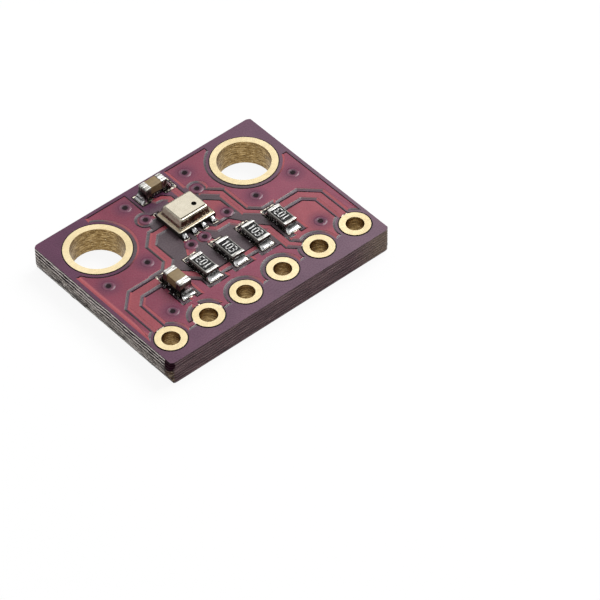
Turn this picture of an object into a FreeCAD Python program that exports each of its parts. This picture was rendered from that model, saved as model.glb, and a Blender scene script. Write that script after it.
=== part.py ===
import FreeCAD, Part
import math
import os
import Sketcher

from FreeCAD import Placement, Rotation, Vector

# A barometric pressure sensor module: a two-sided circuit board, 15 mm by 11.5 mm, with a
# metal-lidded sensor, four resistors, two capacitors, six plated header holes in a row and two
# plated mounting holes. +Z is up, X runs along the header row, the header row is on the -Y side,
# and the origin is at the middle of the underside. All sizes are in millimetres.

os.makedirs("parts", exist_ok=True)
doc = FreeCAD.newDocument("pressure_sensor_module")

# Driving sizes: the name, the size and what it measures
driving_sizes = [
    ("board_length", 15.0, "board, end to end on its faces"),
    ("board_width", 11.5, "board, front to back"),
    ("board_thickness", 1.6, "board over both masks"),
    ("corner_radius", 0.4, "rounded corners of the board"),
    ("snapped_edge", 0.1, "how far the snapped edge stands out past the top face"),
    ("top_score_depth", 0.7, "scored groove cut from above"),
    ("bottom_score_depth", 0.62, "scored groove cut from below"),
    ("bottom_score_width", 0.2, "how far the lower groove cuts in from the snapped edge"),
    ("copper_thickness", 0.05, "plated copper foil"),
    ("mask_over_copper", 0.02, "solder mask on top of copper"),
    ("mask_over_laminate", 0.03, "solder mask on bare laminate"),
    ("mask_side", 0.04, "solder mask on the side of a copper edge"),
    ("mask_relief", 0.05, "how far a mask opening clears a soldered pad"),
    ("header_inset", 1.45, "front edge of the board to the header row"),
    ("header_pitch", 2.54, "one header hole to the next"),
    ("header_hole_radius", 0.51, "bore of a header hole"),
    ("header_ring_radius", 0.865, "gold ring round a header hole"),
    ("header_opening_radius", 0.94, "mask opening round a header hole"),
    ("mounting_hole_radius", 1.5, "bore of a mounting hole"),
    ("mounting_ring_radius", 1.87, "gold ring round a mounting hole"),
    ("mounting_opening_radius", 1.93, "mask opening round a mounting hole"),
    ("hole_plating", 0.018, "plated wall of the header and mounting holes"),
    ("via_drill_radius", 0.15, "drilled hole of a via"),
    ("via_plating", 0.025, "plated wall of a via"),
    ("via_land_radius", 0.34, "copper land round a via"),
    ("pour_inset", 0.3, "edge of the board to the ground copper"),
    ("pour_front", -0.07, "front edge of the ground copper, from the header row"),
    ("pour_tip", 1.02, "middle of a mounting hole to the tips of the ground copper beside it"),
    ("trace_clearance", 0.254, "ground copper to a trace"),
    ("ring_clearance", 0.31, "ground copper to a gold ring"),
    ("spoke_width", 0.28, "copper spoke from the ground copper to a pad"),
    ("feed_trace_width", 0.508, "supply trace from the header"),
    ("address_trace_width", 0.42, "address trace from the header"),
    ("trace_width", 0.27, "all other traces"),
    ("chip_length", 1.5, "resistor or capacitor, end to end"),
    ("chip_width", 0.8, "resistor or capacitor, across"),
    ("chip_offset", 0.09, "how far a chip sits off the middle of its two pads"),
    ("chip_pad_reach", 1.17, "middle of a chip's two pads to the outer end of a pad"),
    ("chip_pad_length", 0.76, "copper pad, along the chip"),
    ("chip_pad_width", 0.9, "copper pad, across the chip"),
    ("resistor_height", 0.45, "resistor over its terminals"),
    ("resistor_wrap", 0.2, "terminal strip on the top and underside of a resistor"),
    ("resistor_plating", 0.03, "thickness of a resistor's terminal"),
    ("overcoat_width", 0.66, "black glass, across the resistor"),
    ("overcoat_thickness", 0.02, "black glass on the ceramic"),
    ("capacitor_height", 0.8, "capacitor over its terminals"),
    ("capacitor_wrap", 0.38, "how far a terminal cap reaches along a capacitor"),
    ("capacitor_plating", 0.025, "thickness of a terminal cap"),
    ("capacitor_rounding", 0.06, "rounded edges of a terminal cap"),
    ("solder_film", 0.03, "solder between a pad and a terminal"),
    ("solder_under", 0.18, "how far solder runs in under the end of a chip"),
    ("solder_reach", 0.3, "how far solder runs out past the end of a chip"),
    ("solder_climb", 0.7, "share of a terminal's height that the solder climbs"),
    ("solder_hollow", 0.42, "radius of the hollow face of a solder fillet"),
    ("resistor_row", 2.86, "header row to the middle of the resistors' pads"),
    ("resistor_1_x", -1.8, "first resistor, from the middle of the row"),
    ("resistor_2_x", -0.02, "second resistor"),
    ("resistor_3_x", 1.78, "third resistor"),
    ("resistor_4_x", 3.61, "fourth resistor"),
    ("supply_capacitor_x", -3.67, "capacitor on the supply, from the middle of the row"),
    ("supply_capacitor_y", 2.8, "middle of its two pads, from the row"),
    ("sensor_capacitor_x", -0.06, "middle of the two pads beside the sensor, from the middle of the row"),
    ("sensor_capacitor_y", 8.98, "capacitor beside the sensor, from the row"),
    ("sensor_capacitor_width", 0.68, "capacitor beside the sensor, across"),
    ("sensor_x", -0.08, "middle of the sensor, from the middle of the row"),
    ("sensor_y", 6.33, "middle of the sensor, from the row"),
    ("sensor_length", 2.5, "sensor, along X"),
    ("sensor_width", 2.0, "sensor, along Y"),
    ("sensor_height", 0.93, "sensor, from its contacts to the top of its lid"),
    ("sensor_pitch", 0.65, "one sensor contact to the next"),
    ("contact_length", 0.5, "sensor contact, along Y"),
    ("contact_width", 0.35, "sensor contact, along X"),
    ("contact_thickness", 0.02, "sensor contact"),
    ("substrate_thickness", 0.25, "base of the sensor"),
    ("sensor_pad_reach", 0.36, "how far a sensor pad runs out past the sensor"),
    ("sensor_pad_length", 0.64, "sensor pad on the board, along Y"),
    ("sensor_bead", 0.3, "how far a solder bead stands out from the sensor"),
    ("sensor_bead_height", 0.27, "height of a solder bead above the board's copper"),
    ("lid_sheet", 0.05, "sheet metal of the lid"),
    ("lid_side_flange", 0.22, "flange of the lid at its two ends"),
    ("lid_front_flange", 0.19, "flange of the lid at its front and back"),
    ("lid_corner_radius", 0.12, "upright corners of the lid"),
    ("lid_shoulder_radius", 0.12, "rounded shoulder of the lid"),
    ("lid_step", 0.02, "raised flat on top of the lid"),
    ("lid_step_inset", 0.165, "edge of the lid to its raised flat"),
    ("vent_radius", 0.135, "vent hole in the lid"),
    ("vent_x", 0.41, "vent hole from the middle of the sensor, along X"),
    ("vent_y", -0.22, "vent hole from the middle of the sensor, along Y"),
    ("die_end_clearance", 0.31, "inside of the lid to the lower silicon die, along X"),
    ("die_side_clearance", 0.26, "inside of the lid to the lower silicon die, along Y"),
    ("circuit_die_thickness", 0.2, "lower silicon die"),
    ("pressure_die_end_inset", 0.27, "end of the lower die to the upper die, room for the bond wires"),
    ("pressure_die_side_inset", 0.1, "side of the lower die to the upper die"),
    ("pressure_die_thickness", 0.25, "upper silicon die with the pressure diaphragm"),
    ("diaphragm_recess", 0.03, "depth of the diaphragm recess"),
    ("bond_wire", 0.025, "thickness of a bond wire"),
    ("bond_wire_rise", 0.06, "height of a bond wire's loop above the lower die"),
    ("bond_wire_inset", 0.08, "end of the lower die to the bond wire's near end"),
    ("bond_wire_reach", 0.16, "end of the lower die to the bond wire's foot on the base"),
]

# The vias, from the middle of the header row: where each one is
vias = {
    "back_left": (-2.05, 9.05),
    "back_right": (2.06, 9.02),
    "far_left": (-6.4, 5.08),
    "near_left": (-3.76, 5.08),
    "near_right": (3.8, 5.13),
    "far_right": (6.43, 5.16),
    "front_left": (-5.05, 1.43),
    "front_right": (5.1, 1.36),
    "sensor_ground": (1.82, 5.2),
    "clock": (-1.18, 4.56),
    "data": (-0.26, 4.56),
    "address_left": (-1.8, 7.62),
    "address_right": (1.78, 7.65),
}
for via_name, (via_x, via_y) in vias.items():
    driving_sizes.append((f"via_{via_name}_x", via_x, f"via {via_name}, from the middle of the row"))
    driving_sizes.append((f"via_{via_name}_y", via_y, f"via {via_name}, from the row"))

sizes = doc.addObject("Spreadsheet::Sheet", "dim")
for row, (size_name, size_value, size_note) in enumerate(driving_sizes, start=1):
    sizes.set(f"A{row}", size_note)
    sizes.set(f"B{row}", str(size_value))
    sizes.setAlias(f"B{row}", size_name)
doc.recompute()


def number(expression):
    """The value of an expression of the sheet's sizes."""
    return float(sizes.evalExpression(expression))


# Sizes that follow from the driving ones, as expressions
header_row_y = "(dim.header_inset - dim.board_width / 2)"
mounting_out = "(2 * dim.header_pitch)"
mounting_rise = "(3 * dim.header_pitch)"
foil_and_mask = "(dim.copper_thickness + dim.mask_over_copper)"
laminate_thickness = f"(dim.board_thickness - 2 * {foil_and_mask})"
laminate_top = f"({foil_and_mask} + {laminate_thickness})"
copper_top = f"({laminate_top} + dim.copper_thickness)"
plated_length = f"({laminate_thickness} + 2 * dim.copper_thickness)"
chip_seat = f"({copper_top} + dim.solder_film)"
via_bore = "(dim.via_drill_radius - dim.via_plating)"
chip_pad_middle = "(dim.chip_pad_reach - dim.chip_pad_length / 2)"
sensor_pad_middle = "(dim.sensor_width / 2 + dim.sensor_pad_reach - dim.sensor_pad_length / 2)"
contact_middle = "(dim.sensor_width / 2 - dim.contact_length / 2)"
substrate_seat = f"({chip_seat} + dim.contact_thickness)"
lid_seat = f"({substrate_seat} + dim.substrate_thickness)"
lid_height = "(dim.sensor_height - dim.contact_thickness - dim.substrate_thickness)"

sub_parts = []


def new_body(label):
    """A body of the document, which is written out under its label."""
    body = doc.addObject("PartDesign::Body", label)
    body.Label = label
    body.AllowCompound = True
    sub_parts.append(body)
    return body


def put(item, x="0", y="0", z="0", turn=0):
    """Places a sub-part by three expressions, turned by an angle about its own Z axis."""
    place = Vector(number(x), number(y), number(z))
    item.Placement = Placement(place, Rotation(Vector(0, 0, 1), turn))
    for axis, expression in zip("xyz", (x, y, z)):
        item.setExpression(f"Placement.Base.{axis}", expression)


def new_sketch(body, name, role="XY_Plane", offset=None):
    """A sketch on one of the body's own origin planes, raised from it by an expression."""
    sketch = body.newObject("Sketcher::SketchObject", name)
    plane = next(item for item in body.Origin.OriginFeatures if item.Role == role)
    sketch.AttachmentSupport = [(plane, "")]
    sketch.MapMode = "FlatFace"
    if offset:
        sketch.setExpression("AttachmentOffset.Base.z", offset)
    return sketch


def bind(sketch, constraint, expression):
    """Adds a constraint to a sketch and ties its value to an expression."""
    index = sketch.addConstraint(constraint)
    sketch.setExpression(f"Constraints[{index}]", expression)


def pin(sketch, geometry, point, x, y):
    """Ties one point of a sketch to a place given by two expressions."""
    bind(sketch, Sketcher.Constraint("DistanceX", -1, 1, geometry, point, number(x)), x)
    bind(sketch, Sketcher.Constraint("DistanceY", -1, 1, geometry, point, number(y)), y)


def short_arc(start, end, radius, side):
    """The shorter arc between two points, with its centre to the left (1) or right (-1).

    Gives the arc and which of its ends is the start: arcs run anticlockwise in a sketch."""
    chord = end - start
    across = Vector(-chord.y, chord.x, 0).normalize() * side
    centre = (start + end) * 0.5 + across * math.sqrt(radius ** 2 - (chord.Length / 2) ** 2)
    turn_start = math.atan2(start.y - centre.y, start.x - centre.x)
    turn_end = math.atan2(end.y - centre.y, end.x - centre.x)
    circle = Part.Circle(centre, Vector(0, 0, 1), radius)
    if (turn_end - turn_start) % (2 * math.pi) < math.pi:
        return Part.ArcOfCircle(circle, turn_start, turn_end), (1, 2)
    return Part.ArcOfCircle(circle, turn_end, turn_start), (2, 1)


def draw_outline(sketch, corners, hollow=None):
    """Draws a closed outline through corners given as pairs of expressions.

    hollow, where given, is the number of the side that is an arc, the expression of its
    radius, and the side that its centre lies on."""
    places = [Vector(number(x), number(y), 0) for x, y in corners]
    count = len(places)
    first = sketch.GeometryCount
    ends = []
    for k, start in enumerate(places):
        end = places[(k + 1) % count]
        if hollow and hollow[0] == k:
            arc, arc_ends = short_arc(start, end, number(hollow[1]), hollow[2])
            sketch.addGeometry(arc, False)
            ends.append(arc_ends)
        else:
            sketch.addGeometry(Part.LineSegment(start, end), False)
            ends.append((1, 2))
    for k, (x, y) in enumerate(corners):
        before = (k - 1) % count
        joint = Sketcher.Constraint("Coincident", first + before, ends[before][1], first + k, ends[k][0])
        sketch.addConstraint(joint)
        pin(sketch, first + k, ends[k][0], x, y)
    if hollow:
        bind(sketch, Sketcher.Constraint("Radius", first + hollow[0], number(hollow[1])), hollow[1])


def draw_rectangle(sketch, length, width, x="0", y="0"):
    """Draws a rectangle of a length along X and a width along Y, about a middle point."""
    left, right = f"{x} - {length} / 2", f"{x} + {length} / 2"
    front, back = f"{y} - {width} / 2", f"{y} + {width} / 2"
    draw_outline(sketch, [(left, front), (right, front), (right, back), (left, back)])


def draw_circle(sketch, radius, x="0", y="0"):
    """Draws a circle about a middle point."""
    middle = Vector(number(x), number(y), 0)
    index = sketch.addGeometry(Part.Circle(middle, Vector(0, 0, 1), number(radius)), False)
    pin(sketch, index, 3, x, y)
    bind(sketch, Sketcher.Constraint("Radius", index, number(radius)), radius)


def pad(body, sketch, length, both_ways=False):
    """Builds up a sketch by a length, or by half of it each way."""
    feature = body.newObject("PartDesign::Pad", f"{sketch.Name}_pad")
    feature.Profile = sketch
    if both_ways:
        feature.SideType = "Symmetric"
    feature.setExpression("Length", length)
    return feature


def pocket(body, sketch, length, upward=False, both_ways=False):
    """Cuts a sketch by a length, and makes sure that it took material away."""
    doc.recompute()
    volume = body.Shape.Volume
    feature = body.newObject("PartDesign::Pocket", f"{sketch.Name}_pocket")
    feature.Profile = sketch
    feature.Reversed = upward
    if both_ways:
        feature.SideType = "Symmetric"
    feature.setExpression("Length", length)
    doc.recompute()
    if body.Shape.Volume >= volume:
        raise RuntimeError(f"{feature.Name} cuts nothing")
    return feature


def round_edges(body, feature, chosen, radius):
    """Rounds those edges of a feature that the test picks out."""
    doc.recompute()
    names = [f"Edge{k}" for k, edge in enumerate(feature.Shape.Edges, start=1) if chosen(edge)]
    fillet = body.newObject("PartDesign::Fillet", f"{feature.Name}_rounding")
    fillet.Base = (feature, names)
    fillet.setExpression("Radius", radius)
    return fillet


def is_upright(edge):
    """Whether an edge runs straight up."""
    return len(edge.Vertexes) == 2 and abs(edge.tangentAt(edge.FirstParameter).z) > 0.999


def mirror(body, feature, role):
    """Repeats a feature on the other side of one of the body's origin planes."""
    copy = body.newObject("PartDesign::Mirrored", f"{feature.Name}_mirror")
    copy.Originals = [feature]
    plane = next(item for item in body.Origin.OriginFeatures if item.Role == role)
    copy.MirrorPlane = (plane, [""])
    body.Tip = copy
    return copy


def repeat(body, feature, role, length, count):
    """Repeats a feature in a line along one of the body's axes, over a whole length."""
    row = body.newObject("PartDesign::LinearPattern", f"{feature.Name}_row")
    row.Originals = [feature]
    axis = next(item for item in body.Origin.OriginFeatures if item.Role == role)
    row.Direction = (axis, [""])
    row.setExpression("Length", length)
    row.Occurrences = count
    body.Tip = row
    return row


def from_row(y):
    """A distance from the header row, as a distance from the middle of the board."""
    return f"({header_row_y} + {y})"


# The glass-fibre laminate: a plate with its short ends scored and snapped, drilled through
laminate = new_body("board_laminate")
put(laminate, z=foil_and_mask)
plate_sketch = new_sketch(laminate, "plate")
draw_rectangle(plate_sketch, "(dim.board_length + 2 * dim.snapped_edge)", "dim.board_width")
plate = pad(laminate, plate_sketch, laminate_thickness)
round_edges(laminate, plate, is_upright, "dim.corner_radius")

score_sketch = new_sketch(laminate, "score", "XZ_Plane")
snapped_x = "(dim.board_length / 2 + dim.snapped_edge)"
for side in ("", "-"):
    draw_outline(score_sketch, [
        (f"{side}dim.board_length / 2", laminate_thickness),
        (f"{side}{snapped_x}", f"{laminate_thickness} - dim.top_score_depth"),
        (f"{side}{snapped_x}", laminate_thickness),
    ])
    draw_outline(score_sketch, [
        (f"{side}({snapped_x} - dim.bottom_score_width)", "0"),
        (f"{side}{snapped_x}", "0"),
        (f"{side}{snapped_x}", "dim.bottom_score_depth"),
    ])
pocket(laminate, score_sketch, "2 * dim.board_width", both_ways=True)

mounting_sketch = new_sketch(laminate, "mounting_drills")
for side in ("", "-"):
    draw_circle(mounting_sketch, "(dim.mounting_hole_radius + dim.hole_plating)",
                f"{side}{mounting_out}", from_row(mounting_rise))
pocket(laminate, mounting_sketch, laminate_thickness, upward=True)

header_sketch = new_sketch(laminate, "header_drill")
draw_circle(header_sketch, "(dim.header_hole_radius + dim.hole_plating)",
            "-2.5 * dim.header_pitch", header_row_y)
header_drill = pocket(laminate, header_sketch, laminate_thickness, upward=True)
repeat(laminate, header_drill, "X_Axis", "5 * dim.header_pitch", 6)

via_sketch = new_sketch(laminate, "via_drills")
for via_name in vias:
    draw_circle(via_sketch, "dim.via_drill_radius", f"dim.via_{via_name}_x",
                from_row(f"dim.via_{via_name}_y"))
pocket(laminate, via_sketch, laminate_thickness, upward=True)


# The plated holes: a barrel with a flat ring at each end, turned from one profile
def plated_hole(label, x, y, bore, ring):
    """A plated hole: its barrel lines the laminate and its rings lie on both faces."""
    body = new_body(label)
    put(body, x, y, "dim.mask_over_copper")
    foil = "dim.copper_thickness"
    drill = f"{bore} + dim.hole_plating"
    upper = f"{plated_length} - {foil}"
    profile = new_sketch(body, f"{label}_profile", "XZ_Plane")
    draw_outline(profile, [
        (bore, "0"), (ring, "0"), (ring, foil), (drill, foil),
        (drill, upper), (ring, upper), (ring, plated_length), (bore, plated_length),
    ])
    turned = body.newObject("PartDesign::Revolution", f"{label}_turned")
    turned.Profile = profile
    turned.ReferenceAxis = (profile, ["V_Axis"])
    turned.Angle = 360


for label, side in (("mounting_ring_left", "-"), ("mounting_ring_right", "")):
    plated_hole(label, f"{side}{mounting_out}", from_row(mounting_rise),
                "dim.mounting_hole_radius", "dim.mounting_ring_radius")
for k in range(6):
    plated_hole(f"header_pad_{k + 1}", f"{k - 2.5} * dim.header_pitch", header_row_y,
                "dim.header_hole_radius", "dim.header_ring_radius")

# The via barrels: thirteen thin plated tubes from face to face
barrels = new_body("via_barrels")
put(barrels, z="dim.mask_over_copper")
barrel_sketch = new_sketch(barrels, "barrel_rings")
for via_name in vias:
    via_place = (f"dim.via_{via_name}_x", from_row(f"dim.via_{via_name}_y"))
    draw_circle(barrel_sketch, "dim.via_drill_radius", *via_place)
    draw_circle(barrel_sketch, via_bore, *via_place)
pad(barrels, barrel_sketch, plated_length)


# Copper and mask outlines are flat faces, laid out from the middle of the header row
def face_through(points):
    """A flat face with straight sides through points that run anticlockwise."""
    corners = [Vector(x, y, 0) for x, y in points]
    return Part.Face(Part.makePolygon(corners + corners[:1]))


def disc(x, y, radius):
    """A flat round face."""
    return Part.Face(Part.Wire(Part.makeCircle(radius, Vector(x, y, 0))))


def box_face(x, y, length, width):
    """A flat rectangle about a middle point."""
    half_x, half_y = length / 2, width / 2
    return face_through([(x - half_x, y - half_y), (x + half_x, y - half_y),
                         (x + half_x, y + half_y), (x - half_x, y + half_y)])


def shifted(points, distance, closed=False):
    """A line moved to its left by a distance, with its bends kept sharp."""
    count = len(points)
    moved = []
    for k in range(count):
        here = Vector(*points[k], 0)
        before = Vector(*points[k - 1], 0) if closed or k > 0 else None
        after = Vector(*points[(k + 1) % count], 0) if closed or k < count - 1 else None
        ways = []
        if before is not None:
            ways.append((here - before).normalize())
        if after is not None:
            ways.append((after - here).normalize())
        lefts = [Vector(-way.y, way.x, 0) for way in ways]
        bisector = (lefts[0] + lefts[-1]).normalize()
        place = here + bisector * (distance / bisector.dot(lefts[0]))
        moved.append((place.x, place.y))
    return moved


def trace_face(points, width, grow):
    """A trace of a width along a line, grown by a margin on every side."""
    first, second = Vector(*points[0], 0), Vector(*points[1], 0)
    last, previous = Vector(*points[-1], 0), Vector(*points[-2], 0)
    first = first + (first - second).normalize() * grow
    last = last + (last - previous).normalize() * grow
    line = [(first.x, first.y)] + list(points[1:-1]) + [(last.x, last.y)]
    reach = width / 2 + grow
    return face_through(shifted(line, -reach) + shifted(line, reach)[::-1])


def outline(feature, grow=0.0):
    """The flat face of one copper feature, grown by a margin."""
    kind = feature[0]
    if kind == "trace":
        return trace_face(feature[1], feature[2], grow)
    if kind == "disc":
        return disc(*feature[1], feature[2] + grow)
    if kind == "pad":
        return box_face(*feature[1], feature[2] + 2 * grow, feature[3] + 2 * grow)
    return face_through(shifted(feature[1], -grow, closed=True))


def merged(faces):
    """Faces in one plane, joined."""
    if len(faces) == 1:
        return faces[0]
    joined = faces[0].fuse(faces[1:])
    return Part.Shell(joined.Faces).removeSplitter()


def net_face(net, grow=0.0):
    """All features of a net, joined and grown by a margin."""
    return merged([outline(feature, grow) for feature in net])


def raised(faces, thickness):
    """Flat faces, built up into solids."""
    solids = [face.extrude(Vector(0, 0, thickness)) for face in faces.Faces]
    return solids[0] if len(solids) == 1 else Part.makeCompound(solids)


# Where the traces meet the pieces, from the middle of the header row
trace = number("dim.trace_width")
land = number("dim.via_land_radius")
clearance = number("dim.trace_clearance")
ring_clearance = number("dim.ring_clearance")
header_x = [number(f"{k - 2.5} * dim.header_pitch") for k in range(6)]
header_ring = number("dim.header_ring_radius")
mounting_x = number(mounting_out)
mounting_y = number(mounting_rise)
via_spot = {name: (number(f"dim.via_{name}_x"), number(f"dim.via_{name}_y")) for name in vias}
resistor_x = [number(f"dim.resistor_{k}_x") for k in range(1, 5)]
resistor_upper = number(f"dim.resistor_row + {chip_pad_middle}")
resistor_lower = number(f"dim.resistor_row - {chip_pad_middle}")
supply_x = number("dim.supply_capacitor_x")
supply_upper = number(f"dim.supply_capacitor_y + {chip_pad_middle}")
supply_lower = number(f"dim.supply_capacitor_y - {chip_pad_middle}")
top_left_x = number(f"dim.sensor_capacitor_x - {chip_pad_middle}")
top_right_x = number(f"dim.sensor_capacitor_x + {chip_pad_middle}")
top_y = number("dim.sensor_capacitor_y")
sensor_y = number("dim.sensor_y")
contact_x = [number(f"dim.sensor_x + {k - 1.5} * dim.sensor_pitch") for k in range(4)]
front_y = number(f"dim.sensor_y - {sensor_pad_middle}")
back_y = number(f"dim.sensor_y + {sensor_pad_middle}")


def upright_pad(x, y):
    """The copper pad of a chip that lies along Y."""
    return ("pad", (x, y), number("dim.chip_pad_width"), number("dim.chip_pad_length"))


def level_pad(x, y):
    """The copper pad of a chip that lies along X."""
    return ("pad", (x, y), number("dim.chip_pad_length"), number("dim.chip_pad_width"))


def sensor_pad(k, y):
    """The copper pad under a contact of the sensor."""
    return ("pad", (contact_x[k], y), number("dim.contact_width"), number("dim.sensor_pad_length"))


# The straight runs that several bends of the traces share
feed_y = supply_upper + 0.07
supply_lane_x = supply_x + 0.92
select_lane_x = header_x[4] - 1.06
address_lane_x = via_spot["address_right"][0] + 0.79
under_sensor_y = sensor_y + 0.16

supply_net = [
    ("trace", [(header_x[0], 0), (header_x[0], feed_y - 0.68), (header_x[0] + 0.68, feed_y),
               (supply_x, feed_y)], number("dim.feed_trace_width")),
    upright_pad(supply_x, supply_upper),
    ("trace", [(supply_x, supply_upper - 0.05), (supply_x + 0.62, supply_upper - 0.15),
               (resistor_x[0] - 0.1, resistor_lower + 0.1), (resistor_x[0], resistor_lower)],
     trace + 0.08),
    ("trace", [(resistor_x[0], resistor_lower + 0.06), (resistor_x[2], resistor_lower + 0.06)],
     trace),
    upright_pad(resistor_x[0], resistor_lower),
    upright_pad(resistor_x[1], resistor_lower),
    upright_pad(resistor_x[2], resistor_lower),
    ("trace", [(supply_x + 0.12, supply_upper + 0.07), (supply_lane_x, supply_upper + 0.87),
               (supply_lane_x, under_sensor_y - 0.63), (supply_lane_x + 0.63, under_sensor_y),
               (contact_x[1], under_sensor_y), (contact_x[1], back_y)], trace),
    ("trace", [(contact_x[1], under_sensor_y), (contact_x[3], under_sensor_y),
               (contact_x[3], top_y - 0.53), (top_right_x, top_y - 0.13)], trace),
    sensor_pad(1, back_y),
    sensor_pad(3, back_y),
    level_pad(top_right_x, top_y),
]
select_net = [
    ("trace", [(header_x[4], 0), (select_lane_x + 0.45, 0.72), (select_lane_x, 1.2),
               (select_lane_x, 2.82), (resistor_x[2] + 0.28, resistor_upper)], trace),
    ("trace", [(contact_x[2], front_y), (contact_x[2], front_y - 0.26),
               (contact_x[2] + 0.38, front_y - 0.67), (contact_x[2] + 1.25, front_y - 0.67),
               (resistor_x[2] + 0.1, resistor_upper + 0.4), (resistor_x[2] + 0.1, resistor_upper)],
     trace),
    upright_pad(resistor_x[2], resistor_upper),
    sensor_pad(2, front_y),
]
address_net = [
    ("trace", [(header_x[5], 0), (header_x[5], resistor_upper - 0.75),
               (header_x[5] - 0.75, resistor_upper), (resistor_x[3], resistor_upper)],
     number("dim.address_trace_width")),
    ("trace", [(resistor_x[3] - 0.2, resistor_upper + 0.15), (address_lane_x, resistor_upper + 0.97),
               (address_lane_x, via_spot["address_right"][1] - 1.13),
               (address_lane_x - 0.75, via_spot["address_right"][1] - 0.38),
               via_spot["address_right"]], trace),
    upright_pad(resistor_x[3], resistor_upper),
    ("disc", via_spot["address_right"], land),
    ("trace", [via_spot["address_left"], (contact_x[0] - 0.2, back_y + 0.13),
               (contact_x[0], back_y + 0.13)], trace),
    ("disc", via_spot["address_left"], land),
    sensor_pad(0, back_y),
]
clock_net = [
    ("trace", [(contact_x[0], front_y), via_spot["clock"]], trace),
    ("trace", [via_spot["clock"], (resistor_x[0], resistor_upper)], trace + 0.15),
    ("disc", via_spot["clock"], land - 0.05),
    upright_pad(resistor_x[0], resistor_upper),
    sensor_pad(0, front_y),
]
data_net = [
    ("trace", [(contact_x[1], front_y), via_spot["data"]], trace),
    ("trace", [via_spot["data"], (resistor_x[1], resistor_upper)], trace),
    ("disc", via_spot["data"], land - 0.03),
    upright_pad(resistor_x[1], resistor_upper),
    sensor_pad(1, front_y),
]
sensor_ground = [
    ("area", [(contact_x[3] - 0.1, front_y - 0.11), (contact_x[3] + 0.35, front_y - 0.31),
              (via_spot["sensor_ground"][0] + 0.3, front_y - 0.31),
              (via_spot["sensor_ground"][0] + 0.3, under_sensor_y - 0.37),
              (via_spot["sensor_ground"][0] - 0.3, under_sensor_y + 0.23),
              (contact_x[3] + 0.4, under_sensor_y + 0.23), (contact_x[3] + 0.4, front_y + 0.59),
              (contact_x[3] - 0.1, front_y + 0.49)]),
    sensor_pad(3, front_y),
]
capacitor_ground = [
    ("trace", [(top_left_x + 0.04, top_y - 0.03), (contact_x[2] - 0.67, top_y - 0.55),
               (contact_x[2] - 0.3, top_y - 0.61), (contact_x[2], top_y - 0.93),
               (contact_x[2], back_y)], trace),
    level_pad(top_left_x, top_y),
    sensor_pad(2, back_y),
]
top_signal_nets = [supply_net, select_net, address_net, clock_net, data_net, sensor_ground,
                   capacitor_ground]

# The bare middle of the top face, where the pieces stand and no ground copper is poured
bare_middle = ("area", [
    (resistor_x[0], resistor_lower), (resistor_x[2], resistor_lower),
    (select_lane_x, resistor_lower - 0.2), (resistor_x[3] - 0.3, resistor_lower),
    (resistor_x[3] - 0.3, resistor_upper), (address_lane_x, resistor_upper + 1.0),
    (address_lane_x, under_sensor_y + 0.09),
    (via_spot["address_right"][0] + 0.05, via_spot["address_right"][1]),
    (top_right_x + 0.66, top_y - 0.78), (top_right_x + 0.66, top_y + 1.5),
    (top_left_x - 0.66, top_y + 1.5), (top_left_x - 0.66, top_y - 0.78),
    (via_spot["address_left"][0] - 0.05, via_spot["address_left"][1]),
    (supply_lane_x + 0.65, under_sensor_y + 0.04), (supply_lane_x, under_sensor_y - 0.51),
    (supply_lane_x, supply_upper + 0.57), (supply_x + 0.47, supply_upper - 0.13),
    (resistor_x[0] - 0.3, resistor_lower + 0.2),
])


def ground_spokes(x, y, reach, ways):
    """Spokes of copper from a pad out into the ground copper."""
    width = number("dim.spoke_width")
    return [("trace", [(x, y), (x + reach * way_x, y + reach * way_y)], width) for way_x, way_y in ways]


def ground_pour(signal_nets, keep_outs, ground_pads, spokes, grow=0.0):
    """The ground copper of one face, poured round everything that it must clear."""
    left = -number("dim.board_length / 2 - dim.pour_inset") - grow
    front = number("dim.pour_front") - grow
    back = number("dim.board_width - dim.header_inset - dim.pour_inset") + grow
    pour = face_through([(left, front), (-left, front), (-left, back), (left, back)])
    blocked = [net_face(net, clearance - grow) for net in signal_nets]
    blocked += [outline(area, -grow) for area in keep_outs]
    blocked += [disc(x, 0, header_ring + ring_clearance - grow) for x in header_x]
    hole_clear = number("dim.mounting_ring_radius + dim.ring_clearance") - grow
    tip = number("dim.pour_tip") - grow
    outside = number("dim.board_length")
    for side in (-1, 1):
        blocked.append(disc(side * mounting_x, mounting_y, hole_clear))
        near = side * (mounting_x - tip)
        blocked.append(face_through([(near, mounting_y - tip), (side * outside, mounting_y - tip),
                                     (side * outside, outside), (near, outside)]))
    blocked += [outline(feature, clearance - grow) for feature in ground_pads]
    pour = pour.cut(blocked)
    return merged(list(pour.Faces) + [outline(feature, grow) for feature in ground_pads + spokes])


pad_spoke = header_ring + ring_clearance + 0.1
spoke_y = number("dim.pour_front + dim.spoke_width / 2")
chip_spoke = number("dim.chip_pad_length / 2 + dim.trace_clearance + 0.1")
top_ground_pads = [upright_pad(supply_x, supply_lower), upright_pad(resistor_x[3], resistor_lower)]
top_spokes = ground_spokes(header_x[1], spoke_y, pad_spoke, [(-1, 0), (1, 0)])
top_spokes += ground_spokes(header_x[1], 0, pad_spoke, [(0, 1)])
top_spokes += ground_spokes(supply_x + 0.1, supply_lower, chip_spoke, [(0, -1)])
top_spokes += ground_spokes(resistor_x[3] + 0.08, resistor_lower, chip_spoke, [(0, -1)])
top_layout = (top_signal_nets, [bare_middle], top_ground_pads, top_spokes)
top_pour = ground_pour(*top_layout)

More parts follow.
